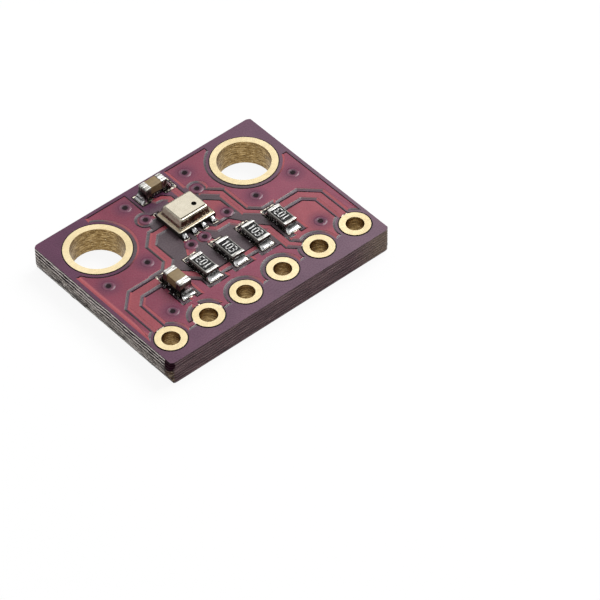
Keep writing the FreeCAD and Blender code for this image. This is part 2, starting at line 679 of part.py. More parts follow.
clock_route = [(header_x[2], 0), (header_x[2], via_spot["clock"][1] - 0.4), via_spot["clock"]]
data_route = [(header_x[3], 0), (header_x[3], 2.4), (via_spot["data"][0], 3.9), via_spot["data"]]
clock_below = [("trace", clock_route, trace), ("disc", via_spot["clock"], land)]
data_below = [("trace", data_route, trace), ("disc", via_spot["data"], land)]
address_below = [
    ("trace", [via_spot["address_left"], via_spot["address_right"]], trace),
    ("disc", via_spot["address_left"], land),
    ("disc", via_spot["address_right"], land),
]
bottom_signal_nets = [clock_below, data_below, address_below]
bottom_spokes = ground_spokes(header_x[1], spoke_y, pad_spoke, [(-1, 0), (1, 0)])
bottom_spokes += ground_spokes(header_x[1], 0, pad_spoke, [(0, 1)])
bare_between = ("area", [(header_x[2], -header_ring), (header_x[3], -header_ring)]
                + data_route[1:] + clock_route[:0:-1])
bottom_layout = (bottom_signal_nets, [bare_between], [], bottom_spokes)
bottom_pour = ground_pour(*bottom_layout)

header_rings = [disc(x, 0, header_ring) for x in header_x]
via_drills = [disc(*spot, number("dim.via_drill_radius")) for spot in via_spot.values()]


def add_copper(label, faces, level):
    """One net of copper on one face of the board, with its vias drilled through."""
    sheet = doc.addObject("Part::Feature", label)
    sheet.Label = label
    drilled = faces.cut(header_rings + via_drills)
    sheet.Shape = raised(drilled, number("dim.copper_thickness"))
    put(sheet, y=header_row_y, z=level)
    sub_parts.append(sheet)


top_ground = Part.makeCompound(list(top_pour.Faces) + list(net_face(sensor_ground).Faces)
                               + list(net_face(capacitor_ground).Faces))
add_copper("ground_copper_top", top_ground, laminate_top)
add_copper("supply_copper_top", net_face(supply_net), laminate_top)
add_copper("select_copper_top", net_face(select_net), laminate_top)
add_copper("address_copper_top", net_face(address_net), laminate_top)
add_copper("clock_copper_top", net_face(clock_net), laminate_top)
add_copper("data_copper_top", net_face(data_net), laminate_top)
add_copper("ground_copper_bottom", bottom_pour, "dim.mask_over_copper")
add_copper("clock_copper_bottom", net_face(clock_below), "dim.mask_over_copper")
add_copper("data_copper_bottom", net_face(data_below), "dim.mask_over_copper")
add_copper("address_copper_bottom", net_face(address_below), "dim.mask_over_copper")


# The solder masks: a thin skin that follows the copper and is open at what gets soldered
def board_face(half_length):
    """One flat face of the laminate with its rounded corners, cut off at its scored ends."""
    half_snapped = number(snapped_x)
    front = -number("dim.header_inset")
    width = number("dim.board_width")
    slab = Part.makeBox(2 * half_snapped, width, 1, Vector(-half_snapped, front, 0))
    slab = slab.makeFillet(number("dim.corner_radius"), [edge for edge in slab.Edges if is_upright(edge)])
    face = next(face for face in slab.Faces if face.CenterOfMass.z < 1e-6)
    return face.common(box_face(0, front + width / 2, 2 * half_length, 2 * width))


def all_copper(layout, grow=0.0):
    """All copper of one face, grown by a margin."""
    features = [feature for net in layout[0] for feature in net]
    return merged(list(ground_pour(*layout, grow).Faces) + [outline(item, grow) for item in features])


def solder_mask(layout, openings, half_length):
    """A mask that lies low on bare laminate and steps up over copper."""
    sheet = board_face(half_length).cut(openings)
    ridges = all_copper(layout, number("dim.mask_side")).cut(openings)
    skin = raised(sheet, number("dim.mask_over_laminate"))
    skin = skin.fuse(raised(ridges, number(foil_and_mask)))
    return skin.cut(raised(all_copper(layout), number("dim.copper_thickness"))).removeSplitter()


ring_openings = [disc(x, 0, number("dim.header_opening_radius")) for x in header_x]
ring_openings += [disc(side * mounting_x, mounting_y, number("dim.mounting_opening_radius"))
                  for side in (-1, 1)]
via_openings = [disc(*spot, number(via_bore)) for spot in via_spot.values()]
soldered_pads = [feature for net in top_signal_nets for feature in net if feature[0] == "pad"]
pad_openings = [outline(feature, number("dim.mask_relief")) for feature in soldered_pads + top_ground_pads]

top_mask = doc.addObject("Part::Feature", "top_solder_mask")
top_mask.Shape = solder_mask(top_layout, ring_openings + via_openings + pad_openings,
                             number("dim.board_length / 2"))
put(top_mask, y=header_row_y, z=laminate_top)

bottom_mask = doc.addObject("Part::Feature", "bottom_solder_mask")
below = solder_mask(bottom_layout, ring_openings + via_openings,
                    number(f"{snapped_x} - dim.bottom_score_width"))
bottom_mask.Shape = below.mirror(Vector(0, 0, 0), Vector(0, 0, 1))
put(bottom_mask, y=header_row_y, z=foil_and_mask)
sub_parts += [top_mask, bottom_mask]


# The chips: each is built along X about its own middle, its underside at its seat on the solder
def put_chip(body, x, y, turn):
    """Sets a chip's piece on the solder at its place."""
    put(body, x, from_row(y), chip_seat, turn)


def chip_solder(label, place, height, width):
    """The solder of both ends: a film under the terminal and a hollow fillet up its end."""
    body = new_body(label)
    put_chip(body, *place)
    profile = new_sketch(body, f"{label}_profile", "XZ_Plane")
    end = "dim.chip_length / 2"
    inner = f"({end} - dim.solder_under)"
    draw_outline(profile, [
        (inner, "0"), (inner, "-dim.solder_film"), (f"{end} + dim.solder_reach", "-dim.solder_film"),
        (end, f"dim.solder_climb * {height}"), (end, "0"),
    ], hollow=(2, f"(dim.solder_hollow * (1 + {height}))", -1))
    mirror(body, pad(body, profile, width, both_ways=True), "YZ_Plane")


def resistor(k):
    """A chip resistor: ceramic bar, black glass, two wrapped terminals, and its solder."""
    place = (f"dim.resistor_{k}_x", "dim.resistor_row - dim.chip_offset", 90)
    plating = "dim.resistor_plating"
    core_height = f"(dim.resistor_height - 2 * {plating})"

    ceramic = new_body(f"resistor_{k}_ceramic")
    put_chip(ceramic, *place)
    bar = new_sketch(ceramic, f"ceramic_{k}", offset=plating)
    draw_rectangle(bar, f"(dim.chip_length - 2 * {plating})", "dim.chip_width")
    pad(ceramic, bar, core_height)

    overcoat = new_body(f"resistor_{k}_overcoat")
    put_chip(overcoat, *place)
    glass = new_sketch(overcoat, f"glass_{k}", offset=f"{plating} + {core_height}")
    draw_rectangle(glass, "(dim.chip_length - 2 * dim.resistor_wrap)", "dim.overcoat_width")
    pad(overcoat, glass, "dim.overcoat_thickness")

    terminals = new_body(f"resistor_{k}_terminals")
    put_chip(terminals, *place)
    hook = new_sketch(terminals, f"hook_{k}", "XZ_Plane")
    outer, tip = "dim.chip_length / 2", "(dim.chip_length / 2 - dim.resistor_wrap)"
    inner, upper = f"(dim.chip_length / 2 - {plating})", f"({plating} + {core_height})"
    draw_outline(hook, [
        (tip, "0"), (outer, "0"), (outer, "dim.resistor_height"), (tip, "dim.resistor_height"),
        (tip, upper), (inner, upper), (inner, plating), (tip, plating),
    ])
    mirror(terminals, pad(terminals, hook, "dim.chip_width", both_ways=True), "YZ_Plane")

    chip_solder(f"resistor_{k}_solder", place, "dim.resistor_height", "dim.chip_width")


def capacitor(label, place, width):
    """A chip capacitor: ceramic block, two terminal caps, and its solder."""
    plating = "dim.capacitor_plating"
    inner_width = f"({width} - 2 * {plating})"
    inner_height = f"(dim.capacitor_height - 2 * {plating})"
    block = new_body(f"{label}_body")
    put_chip(block, *place)
    block_sketch = new_sketch(block, f"{label}_block", offset=plating)
    draw_rectangle(block_sketch, f"(dim.chip_length - 2 * {plating})", inner_width)
    pad(block, block_sketch, inner_height)

    caps = new_body(f"{label}_terminals")
    put_chip(caps, *place)
    open_end = "(dim.chip_length / 2 - dim.capacitor_wrap)"
    cap_sketch = new_sketch(caps, f"{label}_cap", "YZ_Plane", open_end)
    draw_rectangle(cap_sketch, width, "dim.capacitor_height", "0", "dim.capacitor_height / 2")
    cap = pad(caps, cap_sketch, "dim.capacitor_wrap")
    past_open_end = number(open_end) + 1e-6
    rounded = round_edges(caps, cap, lambda edge: edge.BoundBox.XMax > past_open_end,
                          "dim.capacitor_rounding")
    hollow = new_sketch(caps, f"{label}_hollow", "YZ_Plane", open_end)
    draw_rectangle(hollow, inner_width, inner_height, "0", "dim.capacitor_height / 2")
    cut = pocket(caps, hollow, f"dim.capacitor_wrap - {plating}", upward=True)
    doc.recompute()
    other_end = caps.newObject("PartDesign::Mirrored", f"{label}_other_end")
    other_end.Originals = [cap, rounded, cut]
    plane = next(item for item in caps.Origin.OriginFeatures if item.Role == "YZ_Plane")
    other_end.MirrorPlane = (plane, [""])
    caps.Tip = other_end

    chip_solder(f"{label}_solder", place, "dim.capacitor_height", width)


for k in range(1, 5):
    resistor(k)
supply_place = ("dim.supply_capacitor_x", "dim.supply_capacitor_y - dim.chip_offset", 90)
capacitor("supply_capacitor", supply_place, "dim.chip_width")
sensor_side_place = ("dim.sensor_capacitor_x - dim.chip_offset", "dim.sensor_capacitor_y", 0)
capacitor("sensor_capacitor", sensor_side_place, "dim.sensor_capacitor_width")


# The sensor: a base with eight contacts, two stacked dies and a drawn metal lid with a vent hole
def put_on_sensor(body, z):
    """Sets a piece of the sensor at the sensor's middle."""
    put(body, "dim.sensor_x", from_row("dim.sensor_y"), z)


substrate = new_body("sensor_substrate")
put_on_sensor(substrate, substrate_seat)
base_sketch = new_sketch(substrate, "sensor_base")
draw_rectangle(base_sketch, "dim.sensor_length", "dim.sensor_width")
pad(substrate, base_sketch, "dim.substrate_thickness")

contacts = new_body("sensor_contacts")
put_on_sensor(contacts, chip_seat)
contact_sketch = new_sketch(contacts, "sensor_contact")
for k in range(4):
    for side in ("", "-"):
        draw_rectangle(contact_sketch, "dim.contact_width", "dim.contact_length",
                       f"{k - 1.5} * dim.sensor_pitch", f"{side}{contact_middle}")
pad(contacts, contact_sketch, "dim.contact_thickness")

beads = new_body("sensor_solder")
put_on_sensor(beads, copper_top)
bead_sketch = new_sketch(beads, "sensor_bead_profile", "YZ_Plane", "-1.5 * dim.sensor_pitch")
for side, hollow_side in (("-", 1), ("", -1)):
    bead_end = f"{side}dim.sensor_width / 2"
    bead_inner = f"{side}(dim.sensor_width / 2 + dim.sensor_pad_reach - dim.sensor_pad_length)"
    draw_outline(bead_sketch, [
        (bead_inner, "0"), (bead_inner, "dim.solder_film"), (bead_end, "dim.solder_film"),
        (bead_end, "dim.sensor_bead_height"), (f"{side}(dim.sensor_width / 2 + dim.sensor_bead)", "0"),
    ], hollow=(3, "(dim.sensor_bead + dim.sensor_bead_height) / 2", hollow_side))
bead = pad(beads, bead_sketch, "dim.contact_width", both_ways=True)
repeat(beads, bead, "X_Axis", "3 * dim.sensor_pitch", 4)

lid = new_body("sensor_lid")
put_on_sensor(lid, lid_seat)
flange_sketch = new_sketch(lid, "lid_flange")
draw_rectangle(flange_sketch, "dim.sensor_length", "dim.sensor_width")
flange = pad(lid, flange_sketch, "dim.lid_sheet")
round_edges(lid, flange, is_upright, "dim.lid_corner_radius")
cap_length = "(dim.sensor_length - 2 * dim.lid_side_flange)"
cap_width = "(dim.sensor_width - 2 * dim.lid_front_flange)"
shoulder = f"({lid_height} - dim.lid_step)"
dome_sketch = new_sketch(lid, "lid_dome")
draw_rectangle(dome_sketch, cap_length, cap_width)
dome = pad(lid, dome_sketch, shoulder)
doc.recompute()
dome_edge = number(shoulder)
half_length, half_width = number(f"{cap_length} / 2"), number(f"{cap_width} / 2")


def on_dome(edge):
    """Whether an edge is an upright corner or a top edge of the lid's dome."""
    middle = edge.CenterOfMass
    inside = abs(middle.x) < half_length + 1e-6 and abs(middle.y) < half_width + 1e-6
    return inside and (is_upright(edge) or abs(middle.z - dome_edge) < 1e-6)


round_edges(lid, dome, on_dome, "dim.lid_shoulder_radius")
step_sketch = new_sketch(lid, "lid_step_outline", offset=f"{shoulder} - dim.lid_sheet / 2")
draw_rectangle(step_sketch, f"({cap_length} - 2 * dim.lid_step_inset)",
               f"({cap_width} - 2 * dim.lid_step_inset)")
pad(lid, step_sketch, "dim.lid_step + dim.lid_sheet / 2")
cavity_sketch = new_sketch(lid, "lid_cavity")
draw_rectangle(cavity_sketch, f"({cap_length} - 2 * dim.lid_sheet)", f"({cap_width} - 2 * dim.lid_sheet)")
pocket(lid, cavity_sketch, f"{shoulder} - dim.lid_sheet", upward=True)
vent_sketch = new_sketch(lid, "lid_vent")
draw_circle(vent_sketch, "dim.vent_radius", "dim.vent_x", "dim.vent_y")
pocket(lid, vent_sketch, lid_height, upward=True)

circuit_length = f"({cap_length} - 2 * (dim.lid_sheet + dim.die_end_clearance))"
circuit_width = f"({cap_width} - 2 * (dim.lid_sheet + dim.die_side_clearance))"
circuit_die = new_body("sensor_circuit_die")
put_on_sensor(circuit_die, lid_seat)
circuit_sketch = new_sketch(circuit_die, "circuit_die_outline")
draw_rectangle(circuit_sketch, circuit_length, circuit_width)
pad(circuit_die, circuit_sketch, "dim.circuit_die_thickness")

pressure_die = new_body("sensor_pressure_die")
put_on_sensor(pressure_die, f"({lid_seat} + dim.circuit_die_thickness)")
pressure_length = f"({circuit_length} - 2 * dim.pressure_die_end_inset)"
pressure_width = f"({circuit_width} - 2 * dim.pressure_die_side_inset)"
pressure_sketch = new_sketch(pressure_die, "pressure_die_outline")
draw_rectangle(pressure_sketch, pressure_length, pressure_width)
pad(pressure_die, pressure_sketch, "dim.pressure_die_thickness")
recess_sketch = new_sketch(pressure_die, "diaphragm_outline",
                           offset="dim.pressure_die_thickness - dim.diaphragm_recess")
draw_rectangle(recess_sketch, f"{pressure_length} / 2", f"{pressure_width} / 2")
pocket(pressure_die, recess_sketch, "dim.diaphragm_recess", upward=True)

# Bond wires: flat-sided loops from the lower die's edge down to the base, four on each side
wires = new_body("sensor_bond_wires")
put_on_sensor(wires, lid_seat)
wire_pitch = f"({circuit_width} / 4)"
wire_sketch = new_sketch(wires, "wire_loop", "XZ_Plane", f"1.5 * {wire_pitch}")
wire_foot = f"({circuit_length} / 2 + dim.bond_wire_reach)"
wire_land = f"({circuit_length} / 2 - dim.bond_wire_inset)"
wire_top = "(dim.circuit_die_thickness + dim.bond_wire_rise)"
for side in ("", "-"):
    draw_outline(wire_sketch, [
        (f"{side}{wire_land}", "dim.circuit_die_thickness"),
        (f"{side}({wire_land} + dim.bond_wire)", "dim.circuit_die_thickness"),
        (f"{side}({wire_land} + dim.bond_wire)", f"{wire_top} - dim.bond_wire"),
        (f"{side}({wire_foot} - dim.bond_wire)", f"{wire_top} - dim.bond_wire"),
        (f"{side}({wire_foot} - dim.bond_wire)", "0"),
        (f"{side}{wire_foot}", "0"), (f"{side}{wire_foot}", wire_top), (f"{side}{wire_land}", wire_top),
    ])
wire = pad(wires, wire_sketch, "dim.bond_wire", both_ways=True)
repeat(wires, wire, "Y_Axis", f"3 * {wire_pitch}", 4)
doc.recompute()

# Every piece has to be whole before it is written out
for item in sub_parts:
    steps = item.Group if item.isDerivedFrom("PartDesign::Body") else []
    for step in [item] + list(steps):
        if "Invalid" in step.State or "Error" in step.State:
            raise RuntimeError(f"{item.Label}: {step.Name} could not be built")
    if item.Shape.isNull() or not item.Shape.isValid() or not item.Shape.Solids:
        raise RuntimeError(f"{item.Label} has no sound shape")
for item in sub_parts:
    item.Shape.exportStep(f"parts/{item.Label}.step")
    print(f"{item.Label}: {len(item.Shape.Solids)} solid(s), {item.Shape.Volume:.4f} mm3")
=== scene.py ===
# %% [markdown]
# # Dressing a pressure sensor module
#
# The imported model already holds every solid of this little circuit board, at real size. This lesson
# gives it its looks: lacquer, gold, solder, printed numbers, cut glass fibre and a soft studio.
#
# Everything is in metres, and +Z is up out of the face that carries the pieces. The row of six header
# holes lies along X on the near side. The model comes first, and nothing may stand outside its box.

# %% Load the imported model
import math
import random

import bmesh
import bpy
from mathutils import Matrix, Vector
from mathutils.noise import noise as wander


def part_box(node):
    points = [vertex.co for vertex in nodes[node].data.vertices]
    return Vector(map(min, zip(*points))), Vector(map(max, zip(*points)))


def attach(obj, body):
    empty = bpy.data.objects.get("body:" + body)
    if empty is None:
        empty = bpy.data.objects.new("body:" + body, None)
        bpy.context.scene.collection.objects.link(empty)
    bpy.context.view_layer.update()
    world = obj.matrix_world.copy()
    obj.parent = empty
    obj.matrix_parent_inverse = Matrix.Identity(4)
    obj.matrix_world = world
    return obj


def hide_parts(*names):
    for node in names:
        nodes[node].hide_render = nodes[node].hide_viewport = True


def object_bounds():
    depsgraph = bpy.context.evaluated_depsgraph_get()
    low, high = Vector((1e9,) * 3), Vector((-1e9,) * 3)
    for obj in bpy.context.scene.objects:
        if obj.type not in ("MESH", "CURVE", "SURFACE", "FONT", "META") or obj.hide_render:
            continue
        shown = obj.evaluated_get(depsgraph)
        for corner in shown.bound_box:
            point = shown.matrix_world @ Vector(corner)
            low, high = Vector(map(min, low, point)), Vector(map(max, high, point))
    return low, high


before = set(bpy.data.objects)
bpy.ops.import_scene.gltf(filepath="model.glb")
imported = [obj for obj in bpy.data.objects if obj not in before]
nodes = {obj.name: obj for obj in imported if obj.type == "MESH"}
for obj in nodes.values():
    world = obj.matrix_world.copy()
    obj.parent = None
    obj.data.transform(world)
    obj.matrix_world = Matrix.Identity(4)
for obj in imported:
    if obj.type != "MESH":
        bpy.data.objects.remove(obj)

cad_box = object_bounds()
size_mm = [round(1000 * (high - low), 2) for low, high in zip(*cad_box)]
print("loaded", len(nodes), "pieces, box in millimetres", size_mm)

# %% [markdown]
# ## Working in millimetres
#
# The board is as long as a thumbnail, so metres make awkward numbers: a trace is 0.00027 m wide. One
# constant turns millimetres into metres, and a short helper reads a piece's box in millimetres.

# %% Millimetres
MM = 0.001


def corners(node):
    """The lowest and highest corners of a piece of the model, in millimetres."""
    low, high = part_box(node)
    return low / MM, high / MM


board_low, board_high = corners("board_laminate")
mask_top = corners("top_solder_mask")[1].z
print("laminate from", round(board_low.z, 2), "to", round(board_high.z, 2), "mm")
print("lacquer up to", round(mask_top, 2), "mm")

# %% [markdown]
# ## Building materials with nodes
#
# A real surface is never one flat colour. Each finish here is a Principled shader whose colour,
# roughness and bump come from noise at the scale that the real surface has, often a tenth of a
# millimetre. Helpers keep the recipes short. The first ones add a node, start a material and give the
# place on the object in millimetres.

# %% Start a material
def add(tree, kind, inputs=None, **settings):
    """Adds a shader node. Its inputs may be plain values or sockets of other nodes."""
    node = tree.nodes.new("ShaderNode" + kind)
    for key, value in settings.items():
        setattr(node, key, value)
    for key, value in (inputs or {}).items():
        if isinstance(value, bpy.types.NodeSocket):
            tree.links.new(value, node.inputs[key])
        else:
            node.inputs[key].default_value = value
    return node


def finish(name, **values):
    """A new material with one Principled shader. Values are its own constant sockets."""
    material = bpy.data.materials.new(name)
    material.use_nodes = True
    tree = material.node_tree
    shader = tree.nodes["Principled BSDF"]
    for key, value in values.items():
        shader.inputs[key.replace("_", " ")].default_value = value
    return material, tree, shader


def place_mm(tree, stretch=(1, 1, 1)):
    """The place on the object in millimetres, squeezed or stretched along each axis."""
    place = add(tree, "TexCoord").outputs["Object"]
    scale = [1000 * s for s in stretch]
    return add(tree, "VectorMath", {0: place, 1: scale}, operation="MULTIPLY").outputs[0]


def along_axes(tree):
    """The place on the object in millimetres as its X, Y and Z."""
    return add(tree, "SeparateXYZ", {0: place_mm(tree)}).outputs


print("materials can be started")

# %% [markdown]
# ## Shaping a recipe
#
# Noise alone is grey cloud. Every recipe below turns it into a surface with these few moves: a fade from
# one value to another, a blend of two colours, bands of several, and plain arithmetic. A recipe ends at
# the shader's colour, its roughness and its normal, which a bump bends so that light sees relief.

# %% Values and colours
def noise(tree, per_mm, detail=3.0, stretch=(1, 1, 1), rough=0.5):
    """Cloudy noise with so many clouds a millimetre."""
    spread = {"Vector": place_mm(tree, stretch), "Scale": per_mm, "Detail": detail, "Roughness": rough}
    return add(tree, "TexNoise", spread).outputs["Fac"]


def fade(value, start, end, low=0.0, high=1.0):
    """Turns a value between start and end into one between low and high."""
    span = {"Value": value, "From Min": start, "From Max": end, "To Min": low, "To Max": high}
    return add(value.id_data, "MapRange", span).outputs["Result"]


def blend(factor, first, second):
    """Mixes two colours by a factor. Each colour is a socket or three numbers."""
    colours = [c if isinstance(c, bpy.types.NodeSocket) else (*c, 1.0) for c in (first, second)]
    mix = add(factor.id_data, "Mix", {0: factor, 6: colours[0], 7: colours[1]}, data_type="RGBA")
    return mix.outputs[2]


def bands(value, *stops):
    """Colours along a value. Each stop is its place from 0 to 1 and three numbers."""
    ramp = add(value.id_data, "ValToRGB", {0: value})
    marks = ramp.color_ramp.elements
    while len(marks) < len(stops):
        marks.new(0.5)
    for mark, (spot, colour) in zip(marks, stops):
        mark.position = spot
        mark.color = (*colour, 1.0)
    return ramp.outputs["Color"]


def combine(operation, first, second=0):
    """Arithmetic on two values, of which the first is a socket."""
    return add(first.id_data, "Math", {0: first, 1: second}, operation=operation).outputs[0]


def times(first, second):
    """Two values multiplied, which is high only where both are."""
    return combine("MULTIPLY", first, second)


def leaning(tree, x, y, start, end):
    """How far the surface leans towards a direction, as a value between 0 and 1."""
    ends = {0: add(tree, "NewGeometry").outputs["Normal"], 1: (x, y, 0)}
    return fade(add(tree, "VectorMath", ends, operation="DOT_PRODUCT").outputs["Value"], start, end)


def how_level(tree, start, end):
    """How flat a face lies, faded between two values of 0 for upright and 1 for level."""
    facing = add(tree, "SeparateXYZ", {0: add(tree, "NewGeometry").outputs["Normal"]})
    return fade(combine("ABSOLUTE", facing.outputs["Z"]), start, end)


print("values and colours can be mixed")

# %% Colour, roughness and relief
def feed(shader, name, value):
    """Gives one of the shader's sockets a value that changes from place to place."""
    shader.id_data.links.new(value, shader.inputs[name])


def paint(shader, colour):
    """Gives the shader its colour."""
    feed(shader, "Base Color", colour)


def polish(shader, clouds, smooth, rough):
    """Lets the roughness wander between two values with some clouds."""
    feed(shader, "Roughness", fade(clouds, 0.3, 0.7, smooth, rough))


def raise_bumps(shader, height, depth_mm):
    """Lets a height between 0 and 1 shade the surface as relief of that depth."""
    relief = {"Height": height, "Distance": depth_mm * MM, "Strength": 1.0}
    feed(shader, "Normal", add(shader.id_data, "Bump", relief).outputs["Normal"])


def two_toned(name, per_mm, dark, pale, grain, depth_mm, **values):
    """A finish of two tones in clouds, with a finer grain as relief."""
    material, tree, shader = finish(name, **values)
    paint(shader, blend(noise(tree, per_mm), dark, pale))
    raise_bumps(shader, noise(tree, grain), depth_mm)
    return material


print("recipes can be finished")

# %% [markdown]
# ## The purple lacquer
#
# The lacquer, called solder mask, is a thin see-through purple film. Over copper it looks reddish
# pink, because the copper shines through. Over bare glass fibre it looks grey. So its colour can follow
# its height: low is bare board, high is copper, half way up is a slope that is painted bright where it
# faces the light and painted dark where it faces away, as painted highlight and painted shade. It is
# deeper round each via, so those are found first.

# %% Find the vias
def via_places():
    """The middles of the vias, found as the separate round barrels of the model."""
    mesh = bmesh.new()
    mesh.from_mesh(nodes["via_barrels"].data)
    bmesh.ops.remove_doubles(mesh, verts=mesh.verts, dist=0.0005 * MM)
    spots = []
    for vert in mesh.verts:
        spot = Vector((vert.co.x / MM, vert.co.y / MM))
        near = [s for s in spots if (s[0] / s[1] - spot).length < 0.5]
        if near:
            near[0][0] += spot
            near[0][1] += 1
        else:
            spots.append([spot.copy(), 1])
    mesh.free()
    return [total / count for total, count in spots]


vias = via_places()
print("found", len(vias), "vias")

# %% [markdown]
# ## Where the lacquer changes
#
# The lacquer pools round the vias, so its recipe asks how far the nearest via is. And a painted shadow
# lies in a thin line on the left of five chips, near black with white specks that paint glints of
# spattered solder, so it asks where those stand.

# %% Pools and painted shadows
def how_far(tree, spot, stretch):
    """The distance from a point in millimetres, squeezed or stretched along each axis."""
    ends = {0: place_mm(tree, stretch), 1: spot}
    return add(tree, "VectorMath", ends, operation="DISTANCE").outputs["Value"]


def from_nearest_via(tree):
    """How far a place is from the nearest via, in millimetres."""
    nearest = 100
    for spot in vias:
        nearest = combine("MINIMUM", how_far(tree, (spot.x, spot.y, 0), (1, 1, 0)), nearest)
    return nearest


# Each chip with a painted shadow on its left, and how far the shadow reaches beyond that side in
# millimetres
resistors = [f"resistor_{k}" for k in range(1, 5)]
shadowed_chips = [("supply_capacitor_body", 0.2)] + [(name + "_ceramic", 0.09) for name in resistors]


def painted_shadow_beside(tree, place):
    """1 on the lacquer just left of a chip, where a painted shadow lies."""
    ragged = combine("ADD", place["X"], times(noise(tree, 5.0, 2.0), 0.12))
    most = 0
    for name, reach in shadowed_chips:
        low, high = corners(name)
        start = low.x + 0.06 - reach
        left_end = fade(ragged, start - 0.02, start + 0.02)
        right_end = fade(ragged, low.x + 0.3, low.x + 0.2)
        near_end = fade(place["Y"], low.y - 0.08, low.y)
        far_end = fade(place["Y"], high.y + 0.04, high.y - 0.04)
        spot = times(times(left_end, right_end), times(near_end, far_end))
        most = combine("MAXIMUM", spot, most)
    return times(most, fade(place["Z"], 1.5, 1.55))


print("flux stains beside", len(shadowed_chips), "chips")

# %% [markdown]
# ## The lacquer's recipe
#
# The recipe goes from the bare board up: bare tones, the slope with its painted lit and dark sides, the
# bright lip with its painted highlight, and the tones over copper, which are painted paler towards the
# right front corner as a painted sheen. Thin traces look brighter than wide copper, so the recipe is
# used twice.

# %% Lacquer
STEP = 0.04
TO_LIGHT = Vector((-0.35, -0.94, 0))


def lacquered(name, deep, pale):
    """Purple lacquer whose colour over copper runs from a deep pair of tones to a pale pair; the pale pair
    is a painted sheen towards the right front.
    """
    made, tree, shader = finish(name, Roughness=0.3, Specular_IOR_Level=0.3)
    place = along_axes(tree)
    middle = (board_low.z + board_high.z) / 2
    from_middle = combine("ABSOLUTE", combine("SUBTRACT", place["Z"], middle))
    climb = fade(from_middle, mask_top - middle - STEP, mask_top - middle)

    long_way = combine("ABSOLUTE", place["X"])
    short_way = combine("ABSOLUTE", place["Y"])
    margin = combine("MAXIMUM", fade(long_way, 3.8, 5.2), fade(short_way, 3.0, 4.2))
    # The lacquer is painted paler towards the right front corner, over bare board and over copper: a
    # painted sheen.
    painted_sheen = fade(combine("SUBTRACT", place["X"], place["Y"]), -7, 11)
    clouds = noise(tree, 0.8, 4.0)
    weave = noise(tree, 9.0, 2.0)
    bare_middle = blend(clouds, (0.055, 0.038, 0.046), (0.115, 0.08, 0.092))
    deep_margin = blend(clouds, (0.06, 0.014, 0.042), (0.13, 0.036, 0.085))
    pale_margin = blend(clouds, (0.12, 0.065, 0.1), (0.19, 0.11, 0.15))
    bare = blend(margin, bare_middle, blend(painted_sheen, deep_margin, pale_margin))
    deep_pour = blend(clouds, *deep)
    pale_pour = blend(clouds, *pale)
    over_copper = blend(painted_sheen, deep_pour, pale_pour)
    speckled = blend(fade(weave, 0.35, 0.75, 0.0, 0.1), over_copper, (0.17, 0.03, 0.065))
    pool = fade(from_nearest_via(tree), 0.36, 0.85, 0.6, 0.0)
    pooled = blend(pool, speckled, (0.09, 0.018, 0.055))
    # Along the board's left edge the lacquer is painted bright red: thin lacquer at the rim, with a painted
    # highlight on this side.
    left_edge = fade(place["X"], -7.14, -7.03, 0.75, 0.0)
    pooled = blend(left_edge, pooled, (0.5, 0.125, 0.13))
    # Painted light on the slopes: near black where a slope faces away from the light (painted shade) and
    # paler where it faces the light (painted highlight). Slopes that face left are painted salmon red,
    # partly thin lacquer showing the copper's edge and partly a painted highlight.
    lit_slope = leaning(tree, TO_LIGHT.x, TO_LIGHT.y, -0.1, 0.14)
    lit_colour = blend(fade(climb, 0.15, 0.65), (0.06, 0.046, 0.054), (0.15, 0.115, 0.13))
    slope = blend(lit_slope, (0.004, 0.001, 0.003), lit_colour)
    slope = blend(leaning(tree, -1, 0.25, 0.09, 0.2), slope, (0.4, 0.085, 0.1))
    foot = blend(fade(climb, 0.0, 0.12), bare, slope)
    # The lip is red where thin lacquer shows the copper's edge, and painted brighter on the side that faces
    # the light, a painted highlight.
    bright_side = leaning(tree, -0.85, -0.3, -0.04, 0.1)
    rim = blend(bright_side, (0.24, 0.04, 0.065), (0.5, 0.12, 0.14))
    lip = blend(fade(climb, 0.58, 0.7), foot, rim)
    coloured = blend(fade(climb, 0.78, 0.99), lip, pooled)
    # A painted shadow on the lacquer left of the chips: near black, with white specks that paint glints of
    # spattered solder.
    shadow_with_sparks = bands(noise(tree, 10.0, 2.0), (0.6, (0.008, 0.004, 0.005)), (0.67, (0.85, 0.83, 0.8)))
    paint(shader, blend(painted_shadow_beside(tree, place), coloured, shadow_with_sparks))
    polish(shader, weave, 0.2, 0.36)
    raise_bumps(shader, combine("ADD", noise(tree, 4.0), times(weave, 0.2)), 0.004)
    return made


lacquer = lacquered("purple_lacquer", ((0.15, 0.02, 0.045), (0.27, 0.048, 0.086)),
                    ((0.2, 0.045, 0.085), (0.33, 0.09, 0.135)))
thin_lacquer = lacquered("lacquer_over_traces", ((0.23, 0.036, 0.05), (0.38, 0.078, 0.095)),
                         ((0.25, 0.05, 0.072), (0.4, 0.105, 0.13)))
print("lacquer is bare up to", round(mask_top - STEP, 2), "mm and over copper at", round(mask_top, 2), "mm")

# %% [markdown]
# ## Giving the lacquer its slopes
#
# In the model the lacquer steps up onto the copper with upright walls, which is right for a solid but
# looks too crisp. Real lacquer flows into a soft slope. So we copy the model's mesh, lay a narrow band
# inside every raised area and lower the band's outer edge a little. Then the foot of every wall moves
# outwards and its lip inwards, and each corner moves along the two walls that meet there.

# %% Copy a piece of the model
def new_piece(name):
    """An empty piece and a mesh to fill."""
    piece = bpy.data.objects.new(name, bpy.data.meshes.new(name))
    bpy.context.scene.collection.objects.link(piece)
    return piece, bmesh.new()


